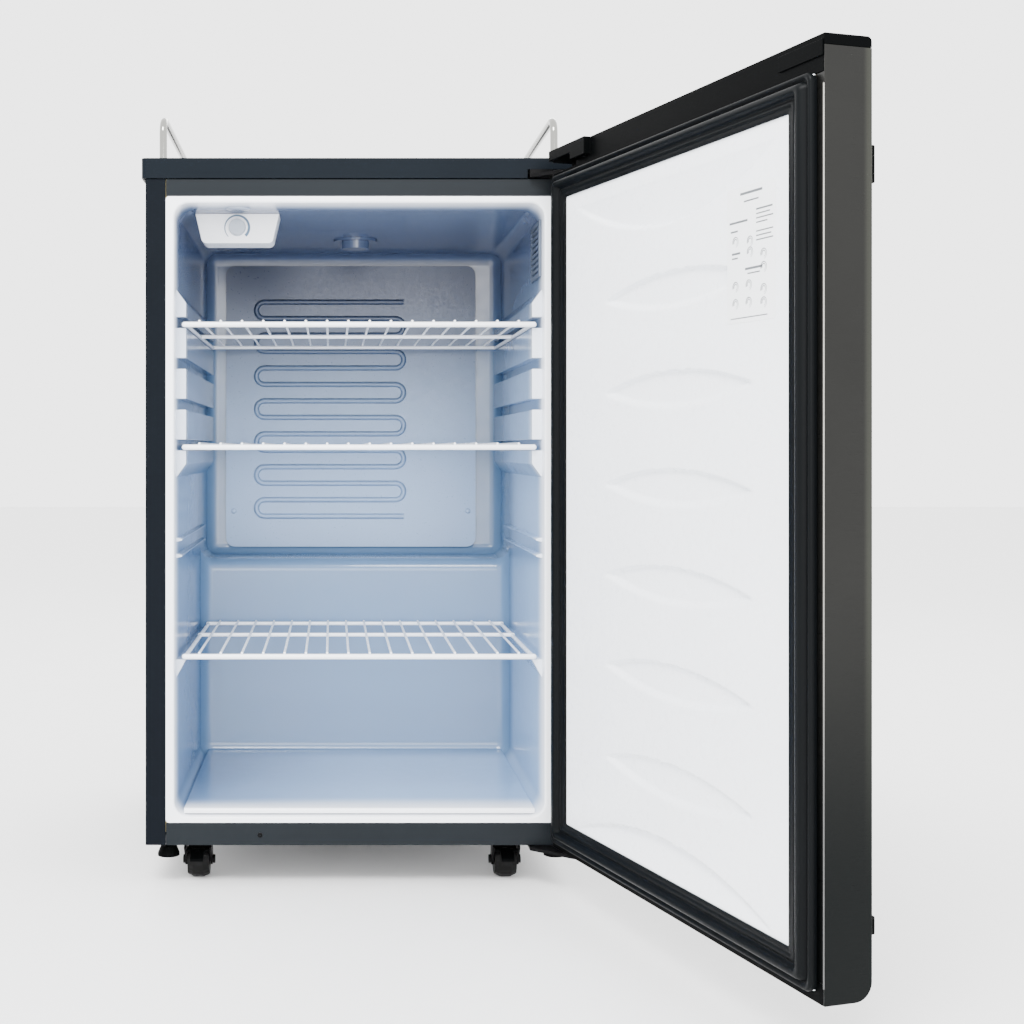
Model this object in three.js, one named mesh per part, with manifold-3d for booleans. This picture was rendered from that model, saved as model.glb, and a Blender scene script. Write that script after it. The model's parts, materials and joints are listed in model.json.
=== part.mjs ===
// Full-size kegerator in its refrigerator arrangement: a foamed steel cabinet on casters with a
// reversible door, three wire shelves, a plugged tower hole and a guard rail round the worktop.
// Millimetres, +Z up. X runs to the right and Y to the back of the cabinet, whose front face is y = 0.
import * as THREE from 'three';
import { mergeVertices } from 'three/addons/utils/BufferGeometryUtils.js';
import Module from 'manifold-3d';

const wasm = await Module();
wasm.setup();

// ---- driving dimensions ------------------------------------------------------------------------

const gap = 0.3;                 // between pieces that touch
const overlap = 1;               // how far a cutter or a joined piece runs past a face
const sheet = 1;                 // folded steel

const cabinet = { width: 522, depth: 540, bottom: 52, top: 865, column: 24.5, beamBottom: 79.5 };
const halfWidth = cabinet.width / 2;
const worktop = { overhang: 5, thickness: 25, front: 2, back: 5, wall: 3, rim: 6, rimHeight: 0.8, corner: 6 };
const liner = {
  wall: 2, flange: 10.5, sideWall: 35, depth: 480, floor: 87, ceiling: cabinet.top - 29.4, corner: 18,
};
const linerHalf = halfWidth - liner.sideWall;
const hump = { front: 372, top: 374, corner: 15 };
const machineRoom = { front: 399, top: 350, halfWidth: halfWidth - 26 };
const pad = { reach: 12, front: 25, back: 455, top: 734, topInner: 716, bottomInner: 517, bottom: 499 };
const shelf = {
  top: 689, pitch: 50.5, positions: 4, middle: 537.5, low: 279, front: 22, back: 442, sideReach: 7,
  barRadius: 3.5, wireRadius: 1.5, wires: 16, wireInset: 21.75, crossBar: 208, slotAbove: 9.5, slotBelow: 4,
  lowRear: 362,
};
const ledge = { drop: 24, ribs: [403, 423], ribHeight: 4, ribReach: 8 };
const evaporator = {
  left: -linerHalf + 29, right: linerHalf - 38, bottom: 385, top: liner.ceiling - 17.6, thickness: 1.5,
  standOff: 4, corner: 14, channelLeft: -linerHalf + 67, channelRight: linerHalf - 140, channelWidth: 8,
  channelProud: 2, channelPitch: 25.4, channels: 13, firstChannel: 48,
};
const floorPlate = { halfWidth: linerHalf - 11, front: 8, thickness: 6.4, rearGap: 3, nose: 3 };
const thermostat = {
  x: -linerHalf + 71.7, front: 82, depth: 45, top: 107, bottom: 92.5, drop: 37.6, wall: 2.5, corner: 7,
  dialDrop: 17.8, knobRadius: 11, knobDepth: 9, shaftRadius: 3,
};
const fan = {
  y: 65.5, z: liner.ceiling - 51.6, width: 77, height: 70, plate: 3, slots: 9, slotPitch: 7, slotHeight: 3.5,
  slotMargin: 6, holeHalfY: 34, holeHalfZ: 31, frame: 60, deep: 18, hub: 9, motorDepth: 4, blades: 5,
};
const tower = { y: 318, sleeve: 30, wall: 2.5, plug: 31, plugThickness: 3, boss: 19, bossDrop: 10, cap: 38 };
const rail = {
  tube: 4.5, halfWidth: halfWidth - 15.5, front: 55, rear: cabinet.depth - 15, postBack: 60, height: 63,
  bend: 20, collar: 9, collarHeight: 3,
};
const foot = {
  radius: 13.5, neck: 9.5, bottom: 34.5, top: 47, stud: 4, studTop: 62, y: 22,
  left: -halfWidth + 26, right: halfWidth - 20,
};
const caster = {
  left: -halfWidth + 61, right: halfWidth - 78, front: 45, rear: cabinet.depth - 50, radius: 21, width: 27,
  trail: 8, plate: 44, plateThickness: 2.2,
  raceway: 20, racewayThickness: 4, leg: 2.5, sideGap: 1, axle: 3, axleHead: 2.5, headDepth: 3, kingpin: 4,
  sides: 20,
};
const brake = { y: -15, z: 38, reach: 16, drop: 10, half: 8, shaft: 2 };
const door = {
  width: cabinet.width + 2 * worktop.overhang, bottom: cabinet.bottom + 9, top: cabinet.top + 24,
  thickness: 47.5, gasketGap: 12, hingeInset: 9, hingeDepth: 25.4,
  openAngle: 106.9, noseRadius: 17, topRadius: 4.5, hem: 12, capTall: 33, capEdge: 10, footTall: 18,
};
const gasket = {
  hinge: 10, free: 10, bottom: 8, top: 31, bandHinge: 34, bandFree: 36, band: 29, base: 2, bead: 12,
  beadInset: 4, crest: 11.5, corner: 8,
};
const doorLiner = { hinge: 12, free: 12, bottom: 10, top: 33, wall: 2.5, seat: gap, corner: 10 };
const relief = {
  left: 134, right: door.width - 99, ribHeight: 40, ribDepth: 4, ribs: [696, 595, 495, 396, 297, 196],
};
const crescent = {
  left: 66, right: door.width - 62, topEdge: 43, topDip: 49, bottomEdge: 28, bottomDip: 38, depth: 7,
};
const hinge = {
  pin: 4, play: 0.3, plate: 4, arm: 9, inner: halfWidth - 54, tail: 44, elbow: 8,
  noseWidth: 28, noseHeight: 9.5,
  topPin: 20, bottomPin: 14, collar: 8, pocketWidth: 62, pocketDepth: 40, pocketHeight: 12,
};
const hingeBlock = { from: 6, to: 98, proud: 8, tall: 20 };
const blankCover = { from: door.width - 66, to: door.width - 1, proud: 1.6, tall: 14, rise: 14 };
const handle = {
  inset: 58, width: 20, reach: 41, bottom: door.bottom + 38, top: door.top - 81, topBracket: 34,
  bottomBracket: 16, bar: 15, proud: 2, corner: 4, narrower: 1,
};
const inlet = { x: -halfWidth + 71, z: cabinet.bottom + 30, radius: 7, flange: 3, sunk: 10, flangeDepth: 2.3 };
const vent = { rows: 7, first: 60, pitch: 26, height: 8, inner: 20, outer: machineRoom.halfWidth - 35 };
const compressor = {
  x: -100, y: 469, radius: 60, height: 150, foot: 8, crown: 14, shoulder: 22, waist: 70, neck: 40, capDrop: 12,
  capIn: 16, topIn: 38, plateX: 80, plateY: 50, plate: 4, grommetX: 70, grommetY: 40, grommet: 9,
};
const tubing = { radius: 3.2, bend: 14, sides: 6, bendSteps: 3 };
const coil = { y: 500, left: 30, right: machineRoom.halfWidth - 25, pitch: 36, runs: 6, rise: 50 };
const drier = {
  x: 10, y: 440, profile: [[0, 140], [3, 142], [10, 152], [10, 232], [3, 242], [0, 244]], sides: 12,
};
const suction = { x: 20, y: 425, rise: 165, bendZ: 300, endX: 60, endZ: machineRoom.top - 8 };
const tray = { left: 62, right: 8, front: 26, rear: 46, height: 22, wall: 2 };
const pan = { lip: 12 };

const flangeEdge = halfWidth - cabinet.column;
const worktopTop = cabinet.top + worktop.thickness;
const pivot = { x: door.width / 2 - door.hingeInset, y: -door.gasketGap - door.hingeDepth };

// ---- finishes ----------------------------------------------------------------------------------

const finish = (color, roughness, metalness) => new THREE.MeshStandardMaterial({ color, roughness, metalness });
const paint = {
  slate: finish(0x2e3a44, 0.45, 0.3),
  beam: finish(0x55626c, 0.4, 0.3),
  doorSteel: finish(0x4a4b49, 0.35, 0.8),
  white: finish(0xe8ecee, 0.2, 0),
  grey: finish(0x9aa0a3, 0.5, 0),
  black: finish(0x17181a, 0.5, 0),
  rubber: finish(0x26282a, 0.8, 0),
  chrome: finish(0xc8ccd0, 0.12, 1),
  zinc: finish(0xa3a7aa, 0.4, 0.9),
  aluminium: finish(0xb4b8ba, 0.45, 0.9),
  copper: finish(0xb87448, 0.35, 1),
  foam: finish(0xe6d9a8, 0.95, 0),
};

// ---- solids ------------------------------------------------------------------------------------

// A closed geometry as a solid that can be joined and cut.
function toSolid(geometry) {
  const bare = geometry.clone();
  bare.deleteAttribute('normal');
  bare.deleteAttribute('uv');
  const welded = mergeVertices(bare, 1e-4);
  const corners = welded.index.array;
  const kept = [];
  for (let i = 0; i < corners.length; i += 3) {
    const [a, b, c] = [corners[i], corners[i + 1], corners[i + 2]];
    if (a !== b && b !== c && c !== a) kept.push(a, b, c);
  }
  const vertProperties = Float32Array.from(welded.attributes.position.array);
  return new wasm.Manifold(new wasm.Mesh({ numProp: 3, vertProperties, triVerts: Uint32Array.from(kept) }));
}

function toGeometry(solid) {
  const { vertProperties, triVerts } = solid.getMesh();
  const geometry = new THREE.BufferGeometry();
  geometry.setAttribute('position', new THREE.BufferAttribute(vertProperties, 3));
  geometry.setIndex(new THREE.BufferAttribute(triVerts, 1));
  geometry.computeVertexNormals();
  return geometry;
}

const join = (first, ...others) => others.reduce((whole, piece) => whole.add(piece), first);
const cut = (first, ...others) => others.reduce((whole, piece) => whole.subtract(piece), first);

function block([x0, x1], [y0, y1], [z0, z1]) {
  const box = new THREE.BoxGeometry(x1 - x0, y1 - y0, z1 - z0);
  box.translate((x0 + x1) / 2, (y0 + y1) / 2, (z0 + z1) / 2);
  return toSolid(box);
}

// Extrudes an outline along an axis. The outline lies in (y, z) for x, (x, z) for y and (x, y) for z.
const axisX = new THREE.Vector3(1, 0, 0);
const axisY = new THREE.Vector3(0, 1, 0);
const axisZ = new THREE.Vector3(0, 0, 1);
const back = new THREE.Vector3(0, -1, 0);
const lay = {
  x: (from) => new THREE.Matrix4().makeBasis(axisY, axisZ, axisX).setPosition(from, 0, 0),
  y: (from, to) => new THREE.Matrix4().makeBasis(axisX, axisZ, back).setPosition(0, to, 0),
  z: (from) => new THREE.Matrix4().setPosition(0, 0, from),
};
const toShape = (corners) => new THREE.Shape(corners.map(([a, b]) => new THREE.Vector2(a, b)));
function prism(outline, axis, [from, to], curveSegments = 5) {
  const shape = outline instanceof THREE.Shape ? outline : toShape(outline);
  const body = new THREE.ExtrudeGeometry(shape, { depth: to - from, bevelEnabled: false, curveSegments });
  return toSolid(body.applyMatrix4(lay[axis](from, to)));
}

// A rectangle with four round corners.
function rounded([a0, a1], [b0, b1], radius) {
  const shape = new THREE.Shape();
  shape.absarc(a1 - radius, b0 + radius, radius, -Math.PI / 2, 0);
  shape.absarc(a1 - radius, b1 - radius, radius, 0, Math.PI / 2);
  shape.absarc(a0 + radius, b1 - radius, radius, Math.PI / 2, Math.PI);
  shape.absarc(a0 + radius, b0 + radius, radius, Math.PI, 1.5 * Math.PI);
  return shape;
}

// A round bar from one point to another, with a flat facet at its lowest side.
function rod(from, to, radius, sides = 16, endRadius = radius) {
  const start = new THREE.Vector3(...from);
  const end = new THREE.Vector3(...to);
  const along = end.clone().sub(start);
  const body = new THREE.CylinderGeometry(endRadius, radius, along.length(), sides);
  const turn = new THREE.Quaternion().setFromUnitVectors(axisY, along.clone().normalize());
  body.applyQuaternion(turn);
  body.translate(...start.add(end).multiplyScalar(0.5).toArray());
  return toSolid(body);
}

// A profile of [radius, height] pairs turned about Z.
function turned(profile, sides = 24, start = 0) {
  const points = profile.map(([r, h]) => new THREE.Vector2(r, h));
  const body = new THREE.LatheGeometry(points, sides, start);
  return toSolid(body.rotateX(Math.PI / 2));
}

// A wire path of straight runs joined by round bends: one step for each run and a few for each bend.
class BentWire extends THREE.Curve {
  constructor(corners, radius, bendSteps = 4) {
    super();
    const points = corners.map((corner) => new THREE.Vector3(...corner));
    this.stops = [points[0]];
    this.headings = [points[1].clone().sub(points[0]).normalize()];
    for (let i = 1; i < points.length - 1; i += 1) {
      const incoming = points[i].clone().sub(points[i - 1]).normalize();
      const outgoing = points[i + 1].clone().sub(points[i]).normalize();
      const turn = incoming.angleTo(outgoing);
      const start = points[i].clone().addScaledVector(incoming, -radius * Math.tan(turn / 2));
      const inward = outgoing.clone().addScaledVector(incoming, -Math.cos(turn)).normalize();
      for (let step = 0; step <= bendSteps; step += 1) {
        const angle = (turn * step) / bendSteps;
        const stop = start.clone().addScaledVector(incoming, radius * Math.sin(angle));
        this.stops.push(stop.addScaledVector(inward, radius * (1 - Math.cos(angle))));
        const heading = incoming.clone().multiplyScalar(Math.cos(angle));
        this.headings.push(heading.addScaledVector(inward, Math.sin(angle)));
      }
    }
    this.stops.push(points.at(-1));
    this.headings.push(points.at(-1).clone().sub(points.at(-2)).normalize());
    this.steps = this.stops.length - 1;
  }
  getPoint(t) { return this.stops[Math.round(t * this.steps)].clone(); }
  getPointAt(t) { return this.getPoint(t); }
  getTangentAt(t) { return this.headings[Math.round(t * this.steps)].clone(); }
}
function wire(corners, bend, radius, sides = 8, bendSteps = 4) {
  const path = new BentWire(corners, bend, bendSteps);
  const section = new THREE.Shape(Array.from({ length: sides }, (_, i) => {
    const angle = ((i + 0.5) / sides) * 2 * Math.PI;
    return new THREE.Vector2(radius * Math.cos(angle), radius * Math.sin(angle));
  }));
  return toSolid(new THREE.ExtrudeGeometry(section, { extrudePath: path, steps: path.steps }));
}

const part = new THREE.Group();
function place(name, solid, material, parent = part) {
  const mesh = new THREE.Mesh(toGeometry(solid), material);
  mesh.name = name;
  parent.add(mesh);
  return mesh;
}

// ---- cabinet shell -----------------------------------------------------------------------------

function sidePanel(side) {
  const outer = side * halfWidth;
  const inner = side * (halfWidth - sheet);
  const edge = side * flangeEdge;
  const outline = [
    [outer, 0], [outer, cabinet.depth], [inner, cabinet.depth], [inner, sheet], [edge, sheet], [edge, 0],
  ];
  return prism(side > 0 ? outline : outline.reverse(), 'z', [cabinet.bottom, cabinet.top]);
}

const insideShell = halfWidth - sheet - gap;
const beamHalf = flangeEdge - 2 * gap;
const tubTop = liner.ceiling + liner.wall;
const linerTop = liner.ceiling + liner.flange - liner.wall - sheet / 2;
const backInner = cabinet.depth - sheet - gap;
const room = {
  x: [-machineRoom.halfWidth, machineRoom.halfWidth], z: [cabinet.bottom + 2.5, machineRoom.top - sheet],
};

function backPanel() {
  const y = [cabinet.depth - sheet, cabinet.depth];
  const plate = block([-insideShell, insideShell], y, [cabinet.bottom, cabinet.top - gap]);
  const window = block(room.x, [backInner, cabinet.depth + overlap], room.z);
  return cut(plate, window);
}

function basePan() {
  const { lip } = pan;
  const front = liner.wall + 2 * gap;
  const rear = backInner - sheet;
  const floor = cabinet.bottom;
  const outline = [
    [front, floor], [rear, floor], [rear, floor + lip], [rear - sheet, floor + lip], [rear - sheet, floor + sheet],
    [front + sheet, floor + sheet], [front + sheet, floor + lip], [front, floor + lip],
  ];
  const folded = prism(outline, 'x', [-insideShell, insideShell]);
  return cut(folded, ...[foot.left, foot.right].map((x) => studHole(x, floor)));
}
const studHole = (x, z) => rod([x, foot.y, z - 10], [x, foot.y, z + 10], foot.stud + 2 * gap);

const frontBeam = (from, to) => block([-beamHalf, beamHalf], [0, 2 * sheet], [from, to]);

function worktopShell() {
  const half = halfWidth + worktop.overhang;
  const y = [-worktop.front, cabinet.depth + worktop.back];
  const slab = prism(rounded([-half, half], y, worktop.corner), 'z', [cabinet.top + gap, worktopTop], 3);
  const inset = (amount) => [[-half + amount, half - amount], [y[0] + amount, y[1] - amount]];
  const hollow = block(...inset(worktop.wall), [cabinet.top - overlap, worktopTop - worktop.wall]);
  const dish = block(...inset(worktop.rim), [worktopTop - worktop.rimHeight, worktopTop + overlap]);
  const hole = rod([0, tower.y, cabinet.top], [0, tower.y, worktopTop + overlap], tower.sleeve + gap, 32);
  const armSlot = block(
    [hinge.inner - 2, halfWidth + 2],
    [y[0] - overlap, worktop.wall + overlap],
    [cabinet.top - overlap, cabinet.top + hinge.noseHeight + 5 * gap],
  );
  return cut(slab, hollow, dish, hole, armSlot);
}

// ---- inner liner -------------------------------------------------------------------------------

// The step over the machine room, grown outwards into the foam by a wall.
function humpBlock(grow) {
  const front = hump.front + grow;
  const top = hump.top - grow;
  const shape = new THREE.Shape([new THREE.Vector2(cabinet.depth, 0), new THREE.Vector2(cabinet.depth, top)]);
  shape.absarc(front + hump.corner, top - hump.corner, hump.corner, Math.PI / 2, Math.PI);
  shape.lineTo(front, 0);
  return prism(shape, 'x', [-halfWidth, halfWidth]);
}
function tubForm(grow, front, rear) {
  const half = linerHalf + grow;
  const outline = rounded([-half, half], [liner.floor - grow, liner.ceiling + grow], liner.corner + grow);
  return cut(prism(outline, 'y', [front, rear + grow]), humpBlock(grow));
}

// Moulded pads that carry the shelves, with a slot for each shelf position, and the lower ledge.
function sideSupports(side) {
  const wall = side * (linerHalf + sheet);
  const face = side * (linerHalf - pad.reach);
  const outline = [[wall, pad.top], [face, pad.topInner], [face, pad.bottomInner], [wall, pad.bottom]];
  const body = prism(side < 0 ? outline : outline.reverse(), 'y', [pad.front, pad.back]);
  const slots = Array.from({ length: shelf.positions }, (_, i) => {
    const level = shelf.top - i * shelf.pitch;
    const across = [side * (linerHalf - pad.reach - overlap), side * linerHalf].sort((a, b) => a - b);
    const along = [pad.front - overlap, pad.back + overlap];
    return block(across, along, [level - shelf.slotBelow, level + shelf.slotAbove]);
  });
  const lowTop = shelf.low - shelf.slotBelow;
  const lowOutline = [[wall, lowTop], [face, lowTop], [wall, lowTop - ledge.drop]];
  const low = prism(side < 0 ? lowOutline : lowOutline.reverse(), 'y', [pad.front, hump.front + sheet]);
  const ribs = ledge.ribs.map((z) => {
    const across = [side * (linerHalf - ledge.ribReach), wall].sort((a, b) => a - b);
    return block(across, [pad.front, hump.front], [z - ledge.ribHeight / 2, z + ledge.ribHeight / 2]);
  });
  return join(cut(body, ...slots), low, ...ribs);
}

const fanOpening = {
  y: [fan.y - fan.holeHalfY, fan.y + fan.holeHalfY], z: [fan.z - fan.holeHalfZ, fan.z + fan.holeHalfZ],
};
function innerLiner() {
  const tub = cut(tubForm(liner.wall, 0, liner.depth), tubForm(0, -overlap, liner.depth));
  const flangeForm = rounded([-beamHalf, beamHalf], [cabinet.beamBottom, linerTop], 4);
  const mouth = rounded([-linerHalf, linerHalf], [liner.floor, liner.ceiling], liner.corner);
  const flange = cut(prism(flangeForm, 'y', [0, liner.wall]), prism(mouth, 'y', [-overlap, liner.wall + overlap]));
  const towerHole = rod(
    [0, tower.y, liner.ceiling - overlap], [0, tower.y, tubTop + overlap], tower.sleeve - tower.wall, 32,
  );
  const fanHole = block([linerHalf - overlap, linerHalf + liner.wall + overlap], fanOpening.y, fanOpening.z);
  return cut(join(tub, flange, sideSupports(-1), sideSupports(1)), towerHole, fanHole);
}

function insulationFoam() {
  const front = liner.wall + 2 * gap;
  const bulk = block(
    [-insideShell + gap, insideShell - gap], [front, backInner - gap],
    [cabinet.bottom + pan.lip + 4, cabinet.top - 2 * gap],
  );
  const tub = tubForm(liner.wall + gap, -overlap, liner.depth);
  const machine = block(
    [room.x[0] - gap, room.x[1] + gap], [machineRoom.front - gap, cabinet.depth], [0, machineRoom.top + gap],
  );
  const towerHole = rod([0, tower.y, liner.ceiling], [0, tower.y, cabinet.top + overlap], tower.sleeve + gap, 32);
  const fanPocket = block([linerHalf, linerHalf + fan.deep + 12], fanOpening.y, fanOpening.z);
  return cut(bulk, tub, machine, towerHole, fanPocket);
}

// ---- cold side ---------------------------------------------------------------------------------

function evaporatorPlate() {
  const rear = liner.depth - evaporator.standOff;
  const face = rear - evaporator.thickness;
  const { left, right, bottom, top, corner } = evaporator;
  const outline = rounded([left, right], [bottom, top], corner);
  const channels = Array.from({ length: evaporator.channels }, (_, i) => {
    const z = bottom + evaporator.firstChannel + i * evaporator.channelPitch;
    const half = evaporator.channelWidth / 2;
    const along = [evaporator.channelLeft, evaporator.channelRight];
    return block(along, [face - evaporator.channelProud, rear - 0.5], [z - half, z + half]);
  });
  return join(prism(outline, 'y', [face, rear]), ...channels);
}

function floorPlateSolid() {
  const cornerRun = floorPlate.halfWidth - (linerHalf - liner.corner);
  const cornerRise = liner.corner - Math.sqrt(liner.corner ** 2 - Math.max(cornerRun, 0) ** 2);
  const bottom = liner.floor + cornerRise + gap;
  const top = bottom + floorPlate.thickness;
  const rear = hump.front - floorPlate.rearGap;
  const shape = new THREE.Shape([new THREE.Vector2(rear, bottom), new THREE.Vector2(rear, top)]);
  shape.absarc(floorPlate.front + floorPlate.nose, top - floorPlate.nose, floorPlate.nose, Math.PI / 2, Math.PI);
  shape.lineTo(floorPlate.front, bottom);
  return prism(shape, 'x', [-floorPlate.halfWidth, floorPlate.halfWidth], 4);
}

// A tapered box under the ceiling, open at the top, with a hole for the knob's shaft.
const dial = { x: thermostat.x, z: liner.ceiling - thermostat.dialDrop };
function housingOutline(inset, top) {
  const wide = thermostat.top / 2 - inset;
  const low = thermostat.bottom / 2 - inset;
  const z = liner.ceiling - thermostat.drop + inset;
  const corner = thermostat.corner - inset;
  const shape = new THREE.Shape([new THREE.Vector2(dial.x + wide, top), new THREE.Vector2(dial.x - wide, top)]);
  shape.absarc(dial.x - low + corner, z + corner, corner, Math.PI, 1.5 * Math.PI);
  shape.absarc(dial.x + low - corner, z + corner, corner, 1.5 * Math.PI, 2 * Math.PI);
  return shape;
}
function thermostatHousing() {
  const { front, depth, wall, shaftRadius } = thermostat;
  const body = prism(housingOutline(0, liner.ceiling - gap), 'y', [front, front + depth], 3);
  const inside = prism(housingOutline(wall, liner.ceiling + overlap), 'y', [front + wall, front + depth - wall], 3);
  const hole = rod([dial.x, front - overlap, dial.z], [dial.x, front + wall + overlap, dial.z], shaftRadius + 2 * gap);
  return cut(body, inside, hole);
}
function thermostatSwitch() {
  const front = thermostat.front + thermostat.wall + gap;
  const body = block([dial.x - 22, dial.x + 22], [front + 4, front + 34], [dial.z - 14, dial.z + 14]);
  const socket = rod([dial.x, front, dial.z], [dial.x, front + 12, dial.z], thermostat.shaftRadius + gap);
  return cut(body, socket);
}
function thermostatKnob() {
  const { front, knobRadius, knobDepth, shaftRadius } = thermostat;
  const rear = front - gap;
  const grip = rod([dial.x, rear, dial.z], [dial.x, rear - knobDepth, dial.z], knobRadius, 24, knobRadius - 1);
  const shaft = rod([dial.x, rear - overlap, dial.z], [dial.x, rear + thermostat.wall + 10, dial.z], shaftRadius);
  const face = rear - knobDepth;
  const pointer = block([dial.x - 1, dial.x + 1], [face - 1, face + 1], [dial.z, dial.z + knobRadius - 2]);
  return join(grip, shaft, pointer);
}

function fanGrille() {
  const face = linerHalf - gap;
  const y = [fan.y - fan.width / 2, fan.y + fan.width / 2];
  const z = [fan.z - fan.height / 2, fan.z + fan.height / 2];
  const plate = block([face - fan.plate, face], y, z);
  const across = [y[0] + fan.slotMargin, y[1] - fan.slotMargin];
  const slots = Array.from({ length: fan.slots }, (_, i) => {
    const level = fan.z + (i - (fan.slots - 1) / 2) * fan.slotPitch;
    return block([face - fan.plate - overlap, face + overlap], across, [level - fan.slotHeight / 2, level + fan.slotHeight / 2]);
  });
  return cut(plate, ...slots);
}
const fanBack = linerHalf + liner.wall + overlap;
const fanBladeRadius = fan.frame / 2 - 4;
function fanFrame() {
  const half = fan.frame / 2;
  const frame = block([fanBack, fanBack + fan.deep], [fan.y - half, fan.y + half], [fan.z - half, fan.z + half]);
  const throat = rod([fanBack - overlap, fan.y, fan.z], [fanBack + fan.deep + overlap, fan.y, fan.z], half - 2, 24);
  const motor = rod([fanBack + fan.deep - fan.motorDepth, fan.y, fan.z], [fanBack + fan.deep, fan.y, fan.z], fan.hub, 16);
  const spokes = [0, 1].map((turn) => {
    const long = half - 1;
    const thin = 2;
    const [overY, overZ] = turn ? [thin, long] : [long, thin];
    const rear = fanBack + fan.deep;
    return block([rear - thin, rear], [fan.y - overY, fan.y + overY], [fan.z - overZ, fan.z + overZ]);
  });
  return join(cut(frame, throat), motor, ...spokes);
}
function fanImpeller() {
  const from = fanBack + 1;
  const to = fanBack + fan.deep - fan.motorDepth - overlap;
  const hub = rod([from, fan.y, fan.z], [to, fan.y, fan.z], fan.hub, 16);
  const blades = Array.from({ length: fan.blades }, (_, i) => {
    const blade = new THREE.BoxGeometry(2, 12, fanBladeRadius - fan.hub + 3);
    blade.rotateZ(0.6);
    blade.translate(0, 0, (fanBladeRadius + fan.hub - 3) / 2);
    blade.rotateX((i / fan.blades) * 2 * Math.PI);
    blade.translate((from + to) / 2, fan.y, fan.z);
    return toSolid(blade);
  });
  return join(hub, ...blades);
}

// ---- tower hole --------------------------------------------------------------------------------

const towerSolid = (profile) => turned(profile, 32).translate([0, tower.y, 0]);
const towerBore = tower.sleeve - tower.wall;
const sleeve = { bottom: tubTop + gap, top: worktopTop - worktop.rimHeight };
const towerSleeve = () => towerSolid([
  [tower.sleeve, sleeve.bottom], [tower.sleeve, sleeve.top], [towerBore, sleeve.top], [towerBore, sleeve.bottom],
  [tower.sleeve, sleeve.bottom],
]);
const spigot = towerBore - gap;
const spigotLength = 14;
function ceilingPlug() {
  const top = liner.ceiling - gap;
  const face = top - tower.plugThickness;
  return towerSolid([
    [0, face - tower.bossDrop], [tower.boss, face - tower.bossDrop], [tower.boss + 1, face], [tower.plug, face],
    [tower.plug, top], [spigot, top], [spigot, top + spigotLength], [0, top + spigotLength],
  ]);
}
function towerHoleCap() {
  const seat = worktopTop - worktop.rimHeight + gap;
  return towerSolid([
    [0, seat - spigotLength], [spigot, seat - spigotLength], [spigot, seat], [tower.cap, seat], [tower.cap, seat + 2],
    [tower.cap - 3, seat + 4], [0, seat + 4.5],
  ]);
}

// ---- guard rail --------------------------------------------------------------------------------

function guardRail() {
  const base = worktopTop + gap;
  const top = worktopTop + rail.height;
  const { halfWidth: half, front, rear } = rail;
  const post = rear - rail.postBack;
  const loop = wire([
    [-half, front, base], [-half, front, top], [-half, rear, top], [half, rear, top], [half, front, top],
    [half, front, base],
  ], rail.bend, rail.tube);
  const collar = (x, y) => rod([x, y, base], [x, y, base + rail.collarHeight], rail.collar, 16, rail.collar - 1);
  const rearPost = (x) => rod([x, post, base], [x, post, top], rail.tube, 8);
  const collars = [[-half, front], [half, front], [-half, post], [half, post]].map(([x, y]) => collar(x, y));
  return join(loop, rearPost(-half), rearPost(half), ...collars);
}

// ---- machine room ------------------------------------------------------------------------------

function machineShroud() {
  const { front, top } = machineRoom;
  const rear = backInner - 2 * gap;
  const low = cabinet.bottom + sheet + gap;
  const outline = [
    [front, low], [front + sheet, low], [front + sheet, top - sheet], [rear, top - sheet], [rear, top], [front, top],
  ];
  return prism(outline, 'x', room.x);
}
function rearCover() {
  const y = [cabinet.depth - sheet, cabinet.depth];
  const half = machineRoom.halfWidth - gap;
  const z = [room.z[0] + gap, room.z[1] - gap];
  const plate = block([-half, half], y, z);
  const slots = [];
  for (const side of [-1, 1]) {
    for (let i = 0; i < vent.rows; i += 1) {
      const level = z[0] + vent.first + i * vent.pitch;
      const across = [side * vent.inner, side * vent.outer].sort((a, b) => a - b);
      slots.push(block(across, [y[0] - overlap, y[1] + overlap], [level, level + vent.height]));
    }
  }
  const hole = rod([inlet.x, y[0] - overlap, inlet.z], [inlet.x, y[1] + overlap, inlet.z], inlet.radius + gap);
  return cut(plate, ...slots, hole);
}
function powerInlet() {
  const stub = (from, to, radius) => rod([inlet.x, from, inlet.z], [inlet.x, to, inlet.z], radius);
  const barrel = stub(cabinet.depth - inlet.sunk, cabinet.depth + worktop.back - gap, inlet.radius);
  const flange = stub(cabinet.depth + gap, cabinet.depth + inlet.flangeDepth, inlet.radius + inlet.flange);
  return join(barrel, flange);
}
const compressorSeat = cabinet.bottom + sheet + gap;
const compressorBase = compressorSeat + compressor.foot;
function compressorSolid() {
  const { x, y, radius, height, grommetX, grommetY } = compressor;
  const base = compressorBase;
  const shell = turned([
    [0, base], [radius - compressor.crown, base], [radius, base + compressor.shoulder],
    [radius, base + compressor.waist], [radius, base + height - compressor.neck],
    [radius - compressor.capIn, base + height - compressor.capDrop], [radius - compressor.topIn, base + height],
    [0, base + height],
  ], 20).translate([x, y, 0]);
  const across = [x - compressor.plateX, x + compressor.plateX];
  const along = [y - compressor.plateY, y + compressor.plateY];
  const bracket = block(across, along, [base, base + compressor.plate]);
  const corners = [[-grommetX, -grommetY], [grommetX, -grommetY], [-grommetX, grommetY], [grommetX, grommetY]];
  const grommets = corners.map(
    ([dx, dy]) => rod([x + dx, y + dy, compressorSeat], [x + dx, y + dy, base + overlap], compressor.grommet, 12),
  );
  return join(shell, bracket, ...grommets);
}
const pipe = (corners) => wire(corners, tubing.bend, tubing.radius, tubing.sides, tubing.bendSteps);
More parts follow.
